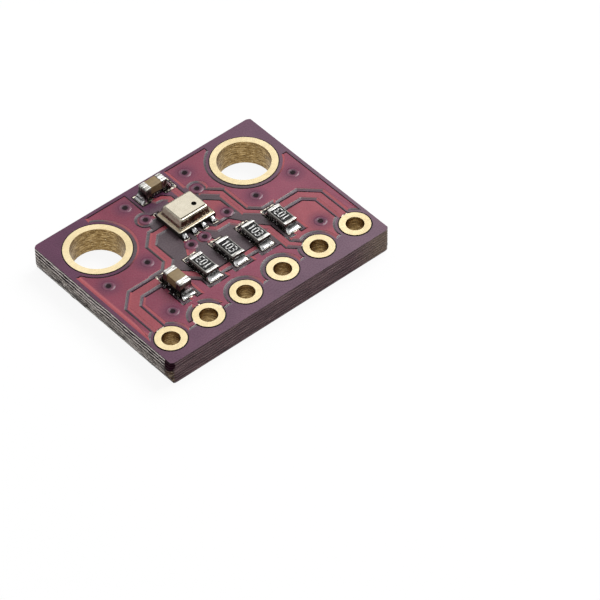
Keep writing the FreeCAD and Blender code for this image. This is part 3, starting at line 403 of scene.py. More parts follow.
def copy_of(node, name, joined_faces=True):
    """A separate copy of one piece's mesh, with its doubled points joined."""
    piece, mesh = new_piece(name)
    mesh.from_mesh(nodes[node].data)
    bmesh.ops.remove_doubles(mesh, verts=mesh.verts, dist=0.0005 * MM)
    if joined_faces:
        bmesh.ops.dissolve_limit(mesh, angle_limit=0.01, verts=mesh.verts, edges=mesh.edges)
    return piece, mesh


def put_back(piece, mesh, material, stands_for=(), smooth=False, second=None, sharp=None):
    """Stores the mesh, hangs the piece under the root body, hides the pieces it stands for, and leaves the
    faces as they are made where smooth is None. Edges steeper than sharp degrees stay sharp."""
    if smooth is not None:
        for face in mesh.faces:
            face.smooth = smooth
    marks = [face.material_index for face in mesh.faces]
    mesh.to_mesh(piece.data)
    mesh.free()
    piece.data.materials.clear()
    piece.data.materials.append(material)
    if second:
        piece.data.materials.append(second)
        piece.data.polygons.foreach_set("material_index", marks)
    if sharp:
        piece.data.set_sharp_from_angle(angle=math.radians(sharp))
    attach(piece, "root")
    if stands_for:
        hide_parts(*stands_for)


print("pieces can be copied and stored")

# %% [markdown]
# The feet move further on the sides that face the light, where the slope carries a broad pale line of
# painted highlight.
# Raised areas of a few square millimetres are traces, and these get the brighter lacquer.

# %% Corners and traces
TRACE_AREA = 8  # Square millimetres


def moved_corner(normals, distance):
    """How far a corner moves so that each of its walls moves by the same distance."""
    first = normals[0]
    second = min(normals, key=first.dot)
    between = first + second
    if between.length < 0.3:
        return first * distance
    half = between.normalized()
    return half * min(distance / max(half.dot(first), 0.4), 2.5 * distance)


def mark_traces(raised):
    """Gives every small raised area the second material, and says how big the areas are."""
    waiting = set(raised)
    areas = []
    while waiting:
        island, edge = [], [waiting.pop()]
        while edge:
            face = edge.pop()
            island.append(face)
            for near in {f for e in face.edges for f in e.link_faces} & waiting:
                waiting.discard(near)
                edge.append(near)
        areas.append(round(sum(f.calc_area() for f in island) / MM ** 2, 1))
        for face in island:
            face.material_index = 1 if areas[-1] < TRACE_AREA else 0
    print("raised areas in square millimetres:", sorted(areas))


print("raised areas under", TRACE_AREA, "square millimetres are traces")

# %% Slope the walls of the lacquer
BARE_TOP, POURED_TOP = 1.56, 1.6
BARE_BOTTOM, POURED_BOTTOM = 0.04, 0.0
FOOT_OUT_LIT, FOOT_OUT_DARK = 0.085 * MM, 0.05 * MM
LIP_IN, LIP_DROP = 0.03 * MM, 0.011 * MM
SHOULDER = 0.07 * MM


def slope_walls(mesh, low, high):
    """Turns upright walls between two levels into slopes with a shoulder, and counts them."""
    raised = [f for f in mesh.faces if all(round(v.co.z / MM, 3) == high for v in f.verts)]
    mark_traces(raised)
    bmesh.ops.inset_region(mesh, faces=raised, thickness=SHOULDER, use_even_offset=True, use_boundary=True)
    moves = {}
    walls = 0
    for face in mesh.faces:
        levels = {round(v.co.z / MM, 3) for v in face.verts}
        if abs(face.normal.z) < 0.2 and levels == {low, high}:
            walls += 1
            for vert in face.verts:
                flat = Vector((face.normal.x, face.normal.y, 0)).normalized()
                moves.setdefault(vert, []).append(flat)
    drop = LIP_DROP if high > low else -LIP_DROP
    for vert, normals in moves.items():
        foot = round(vert.co.z / MM, 3) == low
        lit = sum(normal.dot(TO_LIGHT) > 0 for normal in normals) / len(normals)
        foot_out = FOOT_OUT_DARK + (FOOT_OUT_LIT - FOOT_OUT_DARK) * lit
        vert.co += moved_corner(normals, foot_out if foot else -LIP_IN)
        vert.co.z -= 0 if foot else drop
    return walls


for node, low, high in (("top_solder_mask", BARE_TOP, POURED_TOP),
                        ("bottom_solder_mask", BARE_BOTTOM, POURED_BOTTOM)):
    piece, mesh = copy_of(node, node + "_sloped", joined_faces=False)
    walls = slope_walls(mesh, low, high)
    put_back(piece, mesh, lacquer, (node,), second=thin_lacquer)
    print(node, "has", walls, "sloped walls")

# %% [markdown]
# ## Covered vias
#
# A via is a tiny plated hole that joins the two faces. Lacquer closes it, and leaves a low ring with a
# dark pit in its middle. A profile turned round an axis makes such a ring, and the pit is painted near
# black as painted shade, since hardly any light comes out of it.

# %% Turn a profile into rings
def circle(steps, radius, turn=0.0):
    """The X and Y of points round a circle, which is turned by an angle."""
    angles = [2 * math.pi * k / steps + turn for k in range(steps)]
    return [(radius * math.cos(angle), radius * math.sin(angle)) for angle in angles]


def turned(mesh, centre, profile, steps=32):
    """Turns a profile of (radius, height, material) round an upright axis, in millimetres."""
    rings = []
    for radius, height, _ in profile:
        spots = [Vector((x, y, height)) + centre for x, y in circle(steps, radius)]
        rings.append([mesh.verts.new(spot * MM) for spot in spots])
    for inner, outer, (_, _, number) in zip(rings, rings[1:], profile[1:]):
        for k in range(steps):
            n = (k + 1) % steps
            face = mesh.faces.new((inner[k], outer[k], outer[n], inner[n]))
            face.material_index = number
            face.smooth = True
    mesh.faces.new(rings[0]).material_index = profile[0][2]


print("profiles can be turned")

# %% Cover the vias
# The pits, on both faces, are painted near black: painted shade.
painted_pit_shade = two_toned("dark_pit", 12.0, (0.003, 0.001, 0.002), (0.02, 0.006, 0.01), 14.0, 0.02,
                        Roughness=0.35, Specular_IOR_Level=0.1)

thick_lacquer, tree, shader = finish("thick_lacquer", Roughness=0.28, Specular_IOR_Level=0.4)
# Near black inside the crater round each via: painted shade. Paler on the raised lip, darker purple beyond
# it.
crater = bands(from_nearest_via(tree), (0.15, (0.012, 0.003, 0.008)), (0.21, (0.08, 0.014, 0.04)),
               (0.27, (0.22, 0.06, 0.1)), (0.37, (0.17, 0.03, 0.065)))
paint(shader, blend(noise(tree, 2.0, 3.0), crater, (0.1, 0.02, 0.055)))
raise_bumps(shader, noise(tree, 6.0), 0.006)

# Radius and height in millimetres, and 1 for the pit or 0 for the ring
crater_profile = [(0.05, 0.001, 1), (0.1, 0.002, 1), (0.15, 0.004, 1), (0.17, 0.01, 0), (0.21, 0.012, 0),
                  (0.25, 0.02, 0), (0.28, 0.024, 0), (0.31, 0.018, 0), (0.35, 0.007, 0), (0.38, -0.002, 0)]
dot_profile = [(0.02, 0.0005, 1), (0.13, 0.0005, 1)]
for name, level, profile in (("via_tents_top", mask_top, crater_profile),
                             ("via_tents_bottom", 0.0, dot_profile)):
    tents, mesh = new_piece(name)
    for spot in vias:
        turned(mesh, Vector((spot.x, spot.y, level)), profile)
    put_back(tents, mesh, thick_lacquer, smooth=None, second=painted_pit_shade)
print("covered", len(vias), "vias")

# %% [markdown]
# ## Gold rings and their drilled walls
#
# The rings are copper plated with gold. Their flat faces are a pale satin yellow with faint streaks,
# and the walls inside the holes are painted darker as shade, with fine marks that run round the drill
# and bright painted glints. One recipe does both: it mixes the drill marks in where the surface stands
# upright.

# %% Gold plating
gold, tree, shader = finish("gold_plating", Metallic=1.0, Roughness=0.3)
upright = how_level(tree, 0.7, 0.3)
streaks = noise(tree, 3.0, 5.0)
drill_marks = noise(tree, 2.5, 6.0, (1, 1, 5), 0.75)
patches = noise(tree, 0.5, 2.0)
flat_gold = blend(patches, (0.57, 0.45, 0.24), (0.79, 0.68, 0.445))
flat_gold = blend(fade(streaks, 0.55, 0.8, 0.0, 0.5), flat_gold, (0.6, 0.44, 0.24))
# Upright walls inside the holes are painted dark as shade, streaked by the drill marks, with small painted
# glints.
shaded_wall_gold = bands(drill_marks, (0.32, (0.04, 0.016, 0.004)), (0.5, (0.26, 0.16, 0.055)),
                  (0.68, (0.72, 0.52, 0.25)))
painted_glints = fade(noise(tree, 11.0, 3.0, (1, 1, 2), 0.7), 0.6, 0.68, 0.0, 0.8)
shaded_wall_gold = blend(painted_glints, shaded_wall_gold, (0.95, 0.8, 0.5))
paint(shader, blend(upright, flat_gold, shaded_wall_gold))
polish(shader, streaks, 0.25, 0.4)
raise_bumps(shader, blend(upright, streaks, drill_marks), 0.012)

ring_nodes = ["mounting_ring_left", "mounting_ring_right"] + [f"header_pad_{k}" for k in range(1, 7)]


def dress(names, material):
    """Gives pieces of the model a new material and leaves their shape alone."""
    for name in names:
        data = nodes[name].data
        if not data.materials:
            data.materials.append(material)
        for index in range(len(data.materials)):
            data.materials[index] = material


dress(ring_nodes, gold)
print("gold on", len(ring_nodes), "plated holes")

# %% [markdown]
# ## Copper under the lacquer
#
# Most of the copper is hidden. It shows only at the rims of the chips' pads, where solder has crept over
# the gilding and left a dull grey gold, with near black patches that paint the shade at the rims of the
# lacquer's openings. The rest gets a quiet orange finish.

# %% Copper
copper = two_toned("bare_copper", 6.0, (0.7, 0.36, 0.22), (0.9, 0.55, 0.38), 10.0, 0.004,
                   Metallic=1.0, Roughness=0.4)
gilt, tree, shader = finish("crept_and_shaded_gilding", Metallic=1.0, Roughness=0.3)
creep_and_shade = noise(tree, 7.0, 4.0)
# Near black patches paint the shade at the rims of the lacquer's openings; grey and pale ones are crept
# solder and gilding.
paint(shader, bands(creep_and_shade, (0.4, (0.06, 0.05, 0.045)), (0.52, (0.5, 0.45, 0.38)),
                    (0.64, (0.9, 0.82, 0.66))))
raise_bumps(shader, creep_and_shade, 0.03)
hidden_copper = [name for name in nodes if name.endswith("copper_bottom")] + ["via_barrels"]
gilded_copper = [name for name in nodes if name.endswith("copper_top")]
dress(hidden_copper, copper)
dress(gilded_copper, gilt)
print("copper on", len(hidden_copper), "pieces, gilt on", len(gilded_copper))

# %% [markdown]
# ## The cut edges of the board
#
# The board was cut from a panel in two ways. Its long edges were routed, which leaves a dark smooth
# wall with lines along it. Its short edges were scored from both faces and snapped: the scored bands
# are combed with fine lines, and the broken middle shows the glass cloth. The material asks which way
# a wall faces and how high up the place is, and picks the finish.

# %% Short walls of the laminate
SCORE_LINES = 34.0  # Radians of a wave for each millimetre of height

laminate, tree, shader = finish("glass_fibre", Roughness=0.6, Specular_IOR_Level=0.25)
place = along_axes(tree)
height = place["Z"]
snapped = fade(combine("ABSOLUTE", place["X"]), 7.36, 7.39)
streaks = noise(tree, 0.8, 5.0, (1, 1, 24), 0.62)
flecks = noise(tree, 3.4, 4.0, (1, 0.6, 1.4), 0.7)
waver = times(noise(tree, 0.5, 3.0, (1, 1, 1.5)), 5.0)
lines = combine("SINE", combine("ADD", times(height, SCORE_LINES), waver))
combed = bands(fade(lines, -1, 1), (0.3, (0.008, 0.005, 0.006)), (0.5, (0.15, 0.115, 0.115)),
               (0.76, (0.78, 0.7, 0.66)))
torn = bands(flecks, (0.38, (0.05, 0.038, 0.033)), (0.5, (0.2, 0.17, 0.15)), (0.62, (0.62, 0.57, 0.51)))
torn_part = times(fade(height, 1.1, 0.95), fade(height, 0.55, 0.75, 0.15, 0.75))
short_wall = blend(torn_part, combed, torn)
foot_height = combine("ADD", height, times(noise(tree, 0.9, 3.0, (1, 1, 3)), 0.1))
foot_lines = bands(foot_height, (0.14, (0.012, 0.004, 0.006)), (0.19, (1.0, 0.98, 0.9)),
                   (0.3, (0.95, 0.92, 0.84)), (0.36, (0.01, 0.007, 0.007)), (0.44, (0.1, 0.085, 0.075)))
whole = fade(noise(tree, 1.3, 4.0, (1, 0.7, 3)), 0.32, 0.42)
foot_lines = blend(whole, (0.05, 0.042, 0.038), foot_lines)
short_wall = blend(fade(height, 0.44, 0.32), short_wall, foot_lines)
print("short walls are combed, torn and pale at the foot")

# %% [markdown]
# ## Routed walls and the chipped corner
#
# The routed walls are dark with streaks, and turn tan towards the right corner. The front left corner has
# a small dark chip with amber resin beside it, both told by how far a place is from a point.

# %% Long walls and corners of the laminate
CHIP_X, CHIP_Y, CHIP_Z = -7.5, -5.5, 1.3
CHIP_SQUASH = 0.7
RESIN_X = -7.55

routed_wall = bands(streaks, (0.34, (0.02, 0.008, 0.011)), (0.46, (0.08, 0.035, 0.044)),
                    (0.56, (0.13, 0.07, 0.076)), (0.68, (0.23, 0.15, 0.145)))
bare_corner = times(fade(place["X"], 5.0, 6.7), 0.9)
tan = blend(flecks, (0.06, 0.036, 0.028), (0.28, 0.2, 0.145))
routed_wall = blend(bare_corner, routed_wall, tan)
chip_spot = (CHIP_X * CHIP_SQUASH, CHIP_Y, CHIP_Z * CHIP_SQUASH)
chipped = how_far(tree, chip_spot, (CHIP_SQUASH, 1, CHIP_SQUASH))
beside_corner = how_far(tree, (RESIN_X, CHIP_Y, 0), (1, 1, 0))
walls = blend(snapped, routed_wall, short_wall)
amber = bands(flecks, (0.42, (0.015, 0.005, 0.004)), (0.55, (0.075, 0.036, 0.016)),
              (0.68, (0.4, 0.33, 0.22)))
walls = blend(fade(beside_corner, 0.34, 0.26), walls, amber)
walls = blend(fade(chipped, 0.31, 0.28), walls, (0.014, 0.001, 0.006))
flat = how_level(tree, 0.9, 0.98)
paint(shader, blend(flat, walls, (0.006, 0.004, 0.004)))
feed(shader, "Specular IOR Level", fade(chipped, 0.28, 0.31, 0.03, 0.25))
raise_bumps(shader, combine("ADD", streaks, combine("ADD", flecks, lines)), 0.02)
print("laminate walls are", round(board_high.z - board_low.z, 2), "mm high")

# %% [markdown]
# ## The snapped walls as relief
#
# Paint alone leaves the snapped edges too straight: the real ones are torn, with fibres that stand out
# along the foot. A copy of the laminate loses its flat short walls and gets a fine mesh in their place.
# It follows the scored grooves and the broken middle, and moves by noise, but never past the model.

# %% Torn short walls
WIDEST = 7.6
# How high and how far out the bends of the wall stand
SNAP = [(0.07, 7.4), (0.62, WIDEST), (0.9, WIDEST), (1.53, 7.5)]
STRAIGHT = board_high.y - 0.4
RIDGE, CRUMB, FIBRE = 0.018, 0.05, 0.07


def wall_at(z):
    """How far out the short wall stands at a height."""
    for (z0, x0), (z1, x1) in zip(SNAP, SNAP[1:]):
        if z <= z1:
            return x0 + (x1 - x0) * (z - z0) / (z1 - z0)
    return SNAP[-1][1]


def tear(y, z, shift):
    """How far a torn place stands in or out, in millimetres. The shift makes each side its own."""
    calm = min(1, (STRAIGHT - abs(y)) / 0.2) * min(1, (board_high.z - z) / 0.1)
    ridges = RIDGE * math.sin(z * SCORE_LINES + 4 * wander(Vector((y * 0.4, z, shift))))
    crumbs = CRUMB * wander(Vector((y * 2.2, z * 6, shift + 20)))
    fibres = FIBRE * max(0, wander(Vector((y * 0.9, z * 12, shift + 40)))) * max(0, 1 - z / 0.4)
    return calm * (ridges + crumbs + fibres)


piece, mesh = copy_of("board_laminate", "board_laminate_torn", joined_faces=False)
flat_walls = [f for f in mesh.faces if abs(f.normal.x) > 0.8
              and all(abs(v.co.x) > 7.3 * MM and abs(v.co.y) < (STRAIGHT + 0.01) * MM for v in f.verts)]
bmesh.ops.delete(mesh, geom=flat_walls, context="FACES")
ALONG, UP = 190, 30
for side in (-1, 1):
    grid = []
    for i in range(ALONG + 1):
        y = STRAIGHT * (2 * i / ALONG - 1)
        column = []
        for j in range(UP + 1):
            z = board_low.z + (board_high.z - board_low.z) * j / UP
            x = min(wall_at(z) + tear(y, z, 5 * side), WIDEST)
            column.append(mesh.verts.new(Vector((side * x, y, z)) * MM))
        grid.append(column)
    for i in range(ALONG):
        for j in range(UP):
            square = (grid[i][j], grid[i + 1][j], grid[i + 1][j + 1], grid[i][j + 1])
            mesh.faces.new(square if side > 0 else square[::-1])
print("replaced", len(flat_walls), "flat walls by", 2 * ALONG * UP, "small faces")
put_back(piece, mesh, laminate, ("board_laminate",))

# %% [markdown]
# ## Softening the chips
#
# The resistors and capacitors are plain bars in the model. Real ones catch a thin line of light on
# every edge, because no real edge is a knife. A copy of each mesh gets a bevel of a few hundredths of
# a millimetre. The foot of every chip is painted black as shade, with white sparks that paint glints of
# spattered solder.

# %% Bevelled copies
def softened(node, width_mm, material, steps=3):
    """A bevelled copy of a piece that stands in for it."""
    piece, mesh = copy_of(node, node + "_softened")
    sharp = [e for e in mesh.edges if len(e.link_faces) == 2 and e.calc_face_angle() > 0.6]
    bmesh.ops.bevel(mesh, geom=sharp, offset=width_mm * MM, segments=steps, affect="EDGES",
                    profile=0.5, clamp_overlap=True)
    put_back(piece, mesh, material, (node,), smooth=True, sharp=35)


def shaded_foot(tree, colour):
    """Paints the lowest part of a chip black as shade, with white sparks that paint glints of spattered
    solder.
    """
    uneven = combine("ADD", along_axes(tree)["Z"], times(noise(tree, 5.0, 3.0), 0.2))
    sparks = bands(noise(tree, 10.0, 2.0), (0.6, (0.006, 0.005, 0.005)), (0.67, (0.9, 0.88, 0.84)))
    return blend(fade(uneven, 2.0, 1.95), colour, sparks)


print("chips can be softened")

# %% [markdown]
# ## Ceramic, glass and tin
#
# A resistor is a bar of white ceramic with a black glass coat on top and dull tin round both ends. The
# tin is smeared along the chip, and is painted bright on top as a painted highlight and much darker on
# its sides as painted shade.

# %% The four resistors
white_ceramic, tree, shader = finish("white_ceramic", Roughness=0.55)
fired = blend(noise(tree, 8.0), (0.16, 0.155, 0.14), (0.3, 0.29, 0.27))
paint(shader, shaded_foot(tree, fired))
raise_bumps(shader, noise(tree, 20.0), 0.006)

black_glass, tree, shader = finish("black_glass", Roughness=0.3, Specular_IOR_Level=0.12)
paint(shader, blend(noise(tree, 6.0), (0.006, 0.006, 0.007), (0.025, 0.024, 0.024)))
polish(shader, noise(tree, 9.0), 0.22, 0.42)
raise_bumps(shader, noise(tree, 12.0), 0.006)

tin, tree, shader = finish("dull_tin", Metallic=1.0, Roughness=0.35)
smears = noise(tree, 1.7, 4.0, (1, 6, 1.5), 0.6)
# Level faces are painted bright as a painted highlight, upright ones dark as painted shade.
lit_top_tin = blend(fade(smears, 0.38, 0.6), (0.22, 0.21, 0.19), (0.92, 0.91, 0.87))
shaded_tin_sides = blend(fade(smears, 0.4, 0.6), (0.05, 0.045, 0.04), (0.3, 0.28, 0.24))
both = blend(how_level(tree, 0.1, 0.6), shaded_tin_sides, lit_top_tin)
paint(shader, shaded_foot(tree, both))
polish(shader, noise(tree, 9.0), 0.28, 0.5)
raise_bumps(shader, smears, 0.012)

for name in resistors:
    softened(name + "_ceramic", 0.02, white_ceramic)
    softened(name + "_overcoat", 0.008, black_glass)
    softened(name + "_terminals", 0.014, tin)
print("softened the four resistors")

# %% [markdown]
# ## The resistors' numbers
#
# Each resistor carries the plain number 103, printed in white on the black glass. Strokes of a fixed
# width suit such tiny printing better than a font. Two of the chips were set down the other way round.

# %% Draw digits from strokes
ink = two_toned("white_ink", 14.0, (0.82, 0.82, 0.8), (0.98, 0.98, 0.96), 20.0, 0.004, Roughness=0.6)

STROKE = 0.06
DIGIT_WIDTH, DIGIT_HEIGHT, DIGIT_PITCH = 0.2, 0.46, 0.3
INK_RISE = 0.003
# The strokes of each digit, as shares of its width and height
digit_lines = {
    "1": [[(0.5, 0.0), (0.5, 1.0), (0.2, 0.8)]],
    "0": [[(0.2, 0.0), (0.0, 0.15), (0.0, 0.85), (0.2, 1.0), (0.8, 1.0), (1.0, 0.85), (1.0, 0.15),
           (0.8, 0.0), (0.2, 0.0)]],
    "3": [[(0.0, 1.0), (0.75, 1.0), (1.0, 0.86), (1.0, 0.66), (0.75, 0.53), (0.3, 0.53)],
          [(0.75, 0.53), (1.0, 0.4), (1.0, 0.14), (0.75, 0.0), (0.0, 0.0)]],
}


def stroke(mesh, points, to_board, height):
    """A flat ribbon along a line of points, with its corners filled by small discs."""
    spots = [to_board(point) for point in points]
    for start, end in zip(spots, spots[1:]):
        along = (end - start).normalized()
        side = Vector((-along.y, along.x)) * STROKE / 2
        ends = (start - side, end - side, end + side, start + side)
        mesh.faces.new([mesh.verts.new(Vector((p.x, p.y, height)) * MM) for p in ends])
    for spot in spots:
        rim = [Vector((spot.x + x, spot.y + y, height)) for x, y in circle(10, STROKE / 2)]
        mesh.faces.new([mesh.verts.new(place * MM) for place in rim])


print("digits are", DIGIT_HEIGHT, "mm high")


# %% Print the numbers
def number_on(node, turned_round):
    """Prints 103 along a resistor."""
    low, high = corners(node)
    middle = (low + high) / 2
    way = -1 if turned_round else 1
    printed, mesh = new_piece(node + "_number")
    for place, digit in enumerate("103"):
        start = (place - 1) * DIGIT_PITCH - DIGIT_WIDTH / 2

        def to_board(point):
            along = start + point[0] * DIGIT_WIDTH
            up = (point[1] - 0.5) * DIGIT_HEIGHT
            return Vector((middle.x - way * up, middle.y + way * along))

        for points in digit_lines[digit]:
            stroke(mesh, points, to_board, high.z + INK_RISE)
    put_back(printed, mesh, ink)


for name, turned_round in zip(resistors, (False, True, True, False)):
    number_on(name + "_overcoat", turned_round)
print("printed 103 on four resistors")

# %% [markdown]
# ## Capacitors
#
# A chip capacitor is a fired block of mottled brown ceramic with dull silver caps baked onto both ends.
# The caps are built again as short blocks whose outer edges are well rounded and whose inner ones stay.

# %% Capacitor bodies and caps
CAP_LENGTH, CAP_ROUNDING = 0.38, 0.09


def rounded_caps(node):
    """Two dull silver caps with rounded ends, in place of the model's caps."""
    low, high = corners(node)
    middle, size = (low + high) / 2, high - low
    axis = 0 if size.x > size.y else 1
    piece, mesh = new_piece(node + "_rounded")
    for way in (-1, 1):
        scale, centre = size.copy(), middle.copy()
        scale[axis] = CAP_LENGTH
        centre[axis] += way * (size[axis] - CAP_LENGTH) / 2
        place = Matrix.LocRotScale(centre * MM, None, scale * MM)
        made = bmesh.ops.create_cube(mesh, size=1, matrix=place)
        edges = {edge for vert in made["verts"] for edge in vert.link_edges}
        inner = [e for e in edges if all((v.co[axis] / MM - centre[axis]) * way < 0 for v in e.verts)]
        outer = [e for e in edges if e not in inner]
        bmesh.ops.bevel(mesh, geom=outer, offset=CAP_ROUNDING * MM, segments=4, affect="EDGES",
                        profile=0.5)
    put_back(piece, mesh, tin, (node,), smooth=True, sharp=35)


brown_ceramic, tree, shader = finish("brown_ceramic", Roughness=0.5)
mottled = blend(noise(tree, 5.0, 4.0), (0.17, 0.115, 0.05), (0.33, 0.235, 0.115))
paint(shader, shaded_foot(tree, mottled))
raise_bumps(shader, noise(tree, 12.0), 0.01)
capacitors = ["supply_capacitor", "sensor_capacitor"]
for name in capacitors:
    softened(name + "_body", 0.03, brown_ceramic)
    rounded_caps(name + "_terminals")
print("softened two capacitors and rounded their four caps")

# %% [markdown]
# ## Solder
#
# Solder's colour is a painted reflection of the studio: faces that look up are painted white, upright
# ones nearly black. Some drops have a film that makes them evenly silver, so slow clouds choose between
# the two.

# %% Solder material
solder, tree, shader = finish("bright_solder", Metallic=1.0, Roughness=0.16)
silvery = blend(noise(tree, 9.0), (0.72, 0.71, 0.69), (0.95, 0.95, 0.95))
# A painted reflection: the colour follows how level a face is, white for faces that look up.
painted_reflection = bands(how_level(tree, 0, 1), (0.35, (0.02, 0.02, 0.02)), (0.6, (0.95, 0.95, 0.95)),
                 (0.86, (0.9, 0.9, 0.9)), (0.96, (0.04, 0.04, 0.04)))
drop_by_drop = fade(noise(tree, 0.9, 1.0), 0.5, 0.62)
paint(shader, blend(drop_by_drop, painted_reflection, silvery))
polish(shader, noise(tree, 14.0), 0.08, 0.3)
raise_bumps(shader, noise(tree, 4.0, 2.0), 0.03)
print("solder is mirrored or silvery, drop by drop")

# %% [markdown]
# ## The shape of solder
#
# Solder wets the pad and the chip's end cap, and its own surface tension pulls it into a hollow slope
# with a rounded rim. That shape is easy to write down as a height over the pad: steep at the chip,
# nearly flat at the rim. Small seeded irregularities keep the fillets from being twins.

# %% A patch of solder
ACROSS, OUT = 18, 14
UNEVEN, NARROWING = 0.06, 0.12
chance = random.Random(103)


def fillet(mesh, start, outwards, reach, width, base, height_at):
    """One patch of solder from start outwards, as high as height_at(out, across) says."""
    sideways = Vector((-outwards.y, outwards.x))
    uneven = [chance.uniform(-1, 1) for _ in range(4)]
    grid = []
    for i in range(OUT + 1):
        v = i / OUT
        row = []
        for j in range(ACROSS + 1):
            u = 2 * j / ACROSS - 1
            waves = uneven[0] * u + uneven[1] * v + uneven[2] * math.sin(3 * u) + uneven[3] * u * v
            height = base + (1 + UNEVEN * waves) * height_at(v, abs(u))
            narrowing = 1 - NARROWING * v ** 3
            spot = start + outwards * (v * reach) + sideways * (u * width / 2 * narrowing)
            row.append(mesh.verts.new(Vector((spot.x, spot.y, height)) * MM))
        grid.append(row)
    for i in range(OUT):
        for j in range(ACROSS):
            mesh.faces.new((grid[i][j], grid[i][j + 1], grid[i + 1][j + 1], grid[i + 1][j]))


print("a patch has", OUT * ACROSS, "faces")

# %% Fillets of the chips
RIM_HEIGHT, SINK = 0.05, 0.02
NEAR_REACH, FAR_REACH = 0.31, 0.45


def chip_height(climb, v, u):
    """A hollow slope up the end of a chip, with a rounded rim on the pad."""
    rim = math.sqrt(max(1 - max(u, v) ** 10, 0))
    return rim * (RIM_HEIGHT + climb * (1 - v) ** 2.4 * (1 - 0.35 * u ** 4))


def chip_fillets(name):
    """Both fillets of a chip, from the boxes of its end caps and its solder."""
    chip_low, chip_high = corners(name + "_terminals")
    low, high = corners(name + "_solder")
    piece, mesh = new_piece(name + "_fillets")
    middle = (chip_low + chip_high) / 2
    lengthwise = Vector((0, 1)) if high.y - low.y > high.x - low.x else Vector((1, 0))
    half = (chip_high - chip_low).to_2d().dot(lengthwise) / 2
    width = min(high.x - low.x, high.y - low.y) + 0.09
    climb = (high.z - low.z) - RIM_HEIGHT
    for way, reach in ((1, FAR_REACH), (-1, NEAR_REACH)):
        start = middle.to_2d() + lengthwise * way * (half - SINK)
        fillet(mesh, start, lengthwise * way, reach + SINK, width, low.z,
               lambda v, u: chip_height(climb, v, u))
    put_back(piece, mesh, solder, (name + "_solder",), smooth=True)


for name in capacitors + resistors:
    chip_fillets(name)
print("made", 2 * len(capacitors + resistors), "fillets")

# %% [markdown]
# ## The sensor
#
# The sensor is a dark resin base under a drawn lid of nickel sheet. Pressing has left its walls streaked
# from top to foot, and they are painted dark as shade, while its flat top is as the rolls left it. Its
# left wall is painted pale, a painted highlight.

# %% Sensor finishes
FLANGE_FOOT, FLANGE_TOP = 1.916, 1.96

nickel, tree, shader = finish("warm_nickel", Roughness=0.26)
rolled = blend(noise(tree, 2.5, 5.0), (0.5, 0.455, 0.36), (0.62, 0.575, 0.47))
draw_marks = noise(tree, 3.0, 4.0, (1, 1, 3), 0.65)
# Upright walls are streaked by drawing and painted dark as shade; level faces keep the rolled tones.
drawn_and_shaded = bands(draw_marks, (0.36, (0.045, 0.03, 0.015)), (0.52, (0.16, 0.12, 0.07)),
              (0.68, (0.42, 0.35, 0.24)))
height = along_axes(tree)["Z"]
on_flange = times(fade(height, FLANGE_FOOT, FLANGE_FOOT + 0.01),
                  fade(height, FLANGE_TOP, FLANGE_TOP - 0.02))
sheet = blend(how_level(tree, 0.12, 0.5), drawn_and_shaded, rolled)
sheet = blend(on_flange, sheet, blend(draw_marks, (0.16, 0.12, 0.075), (0.4, 0.34, 0.25)))
# The upper part of the left wall is painted pale and less metallic: a painted highlight.
left_wall = times(leaning(tree, -1, 0, 0.55, 0.85), fade(height, 2.07, 2.15))
sheet = blend(left_wall, sheet, blend(draw_marks, (0.5, 0.43, 0.31), (0.95, 0.88, 0.74)))
paint(shader, sheet)
feed(shader, "Metallic", fade(left_wall, 0, 1, 1, 0.2))
polish(shader, noise(tree, 5.0), 0.24, 0.34)
raise_bumps(shader, noise(tree, 6.0, 3.0), 0.0025)

resin_and_vent_shade = two_toned("dark_resin", 8.0, (0.005, 0.004, 0.003), (0.025, 0.022, 0.018), 15.0, 0.01,
                  Roughness=0.5)
softened("sensor_substrate", 0.01, resin_and_vent_shade, 1)

silicon = two_toned("polished_silicon", 10.0, (0.1, 0.1, 0.12), (0.22, 0.22, 0.25), 18.0, 0.002,
                    Metallic=0.6, Roughness=0.15)
dress(["sensor_circuit_die", "sensor_pressure_die"], silicon)
dress(["sensor_contacts", "sensor_bond_wires"], gold)
print("nickel, resin, silicon and gold are on the sensor")

# %% [markdown]
# ## The drawn lid
#
# The lid is drawn again as a stack of rounded rectangles: a flange that curls down at its rim, a wall,
# a rounded shoulder and a raised flat, so that each bend catches its own thin line of light. The last
# loops are circles that lead down a short tube, the vent, whose wall and closing floor get the black
# resin as painted shade of the cavity below.

# %% Loops and skins
def rounded_rectangle(centre, half_x, half_y, radius, steps=6):
    """Points round a rectangle with rounded corners, in millimetres."""
    points = []
    for corner, (sx, sy) in enumerate(((1, 1), (-1, 1), (-1, -1), (1, -1))):
        for k in range(steps + 1):
            angle = math.pi / 2 * (corner + k / steps)
            points.append(centre + Vector((sx * (half_x - radius) + radius * math.cos(angle),
                                           sy * (half_y - radius) + radius * math.sin(angle))))
    return points


def stacked(mesh, loops):
    """A skin through loops of points, each loop being its points and its height."""
    rows = [[mesh.verts.new(Vector((p.x, p.y, z)) * MM) for p in points] for points, z in loops]
    for lower, upper in zip(rows, rows[1:]):
        for k in range(len(lower)):
            n = (k + 1) % len(lower)
            mesh.faces.new((lower[k], lower[n], upper[n], upper[k]))
    return rows


print("loops can be joined by a skin")

# %% Press the lid
VENT_X, VENT_Y, VENT_RADIUS, VENT_TURN = 0.41, -0.22, 0.138, 0.1
# How much wider than the vent each of its loops is, and how high over the lid's top
VENT_LOOPS = ((0.02, 0), (0.008, 0), (0, -0.008), (0, -0.15))
SHOULDER_STEPS = 6

low, high = corners("sensor_lid")
centre = ((low + high) / 2).to_2d()
half_x, half_y = (high.x - low.x) / 2, (high.y - low.y) / 2
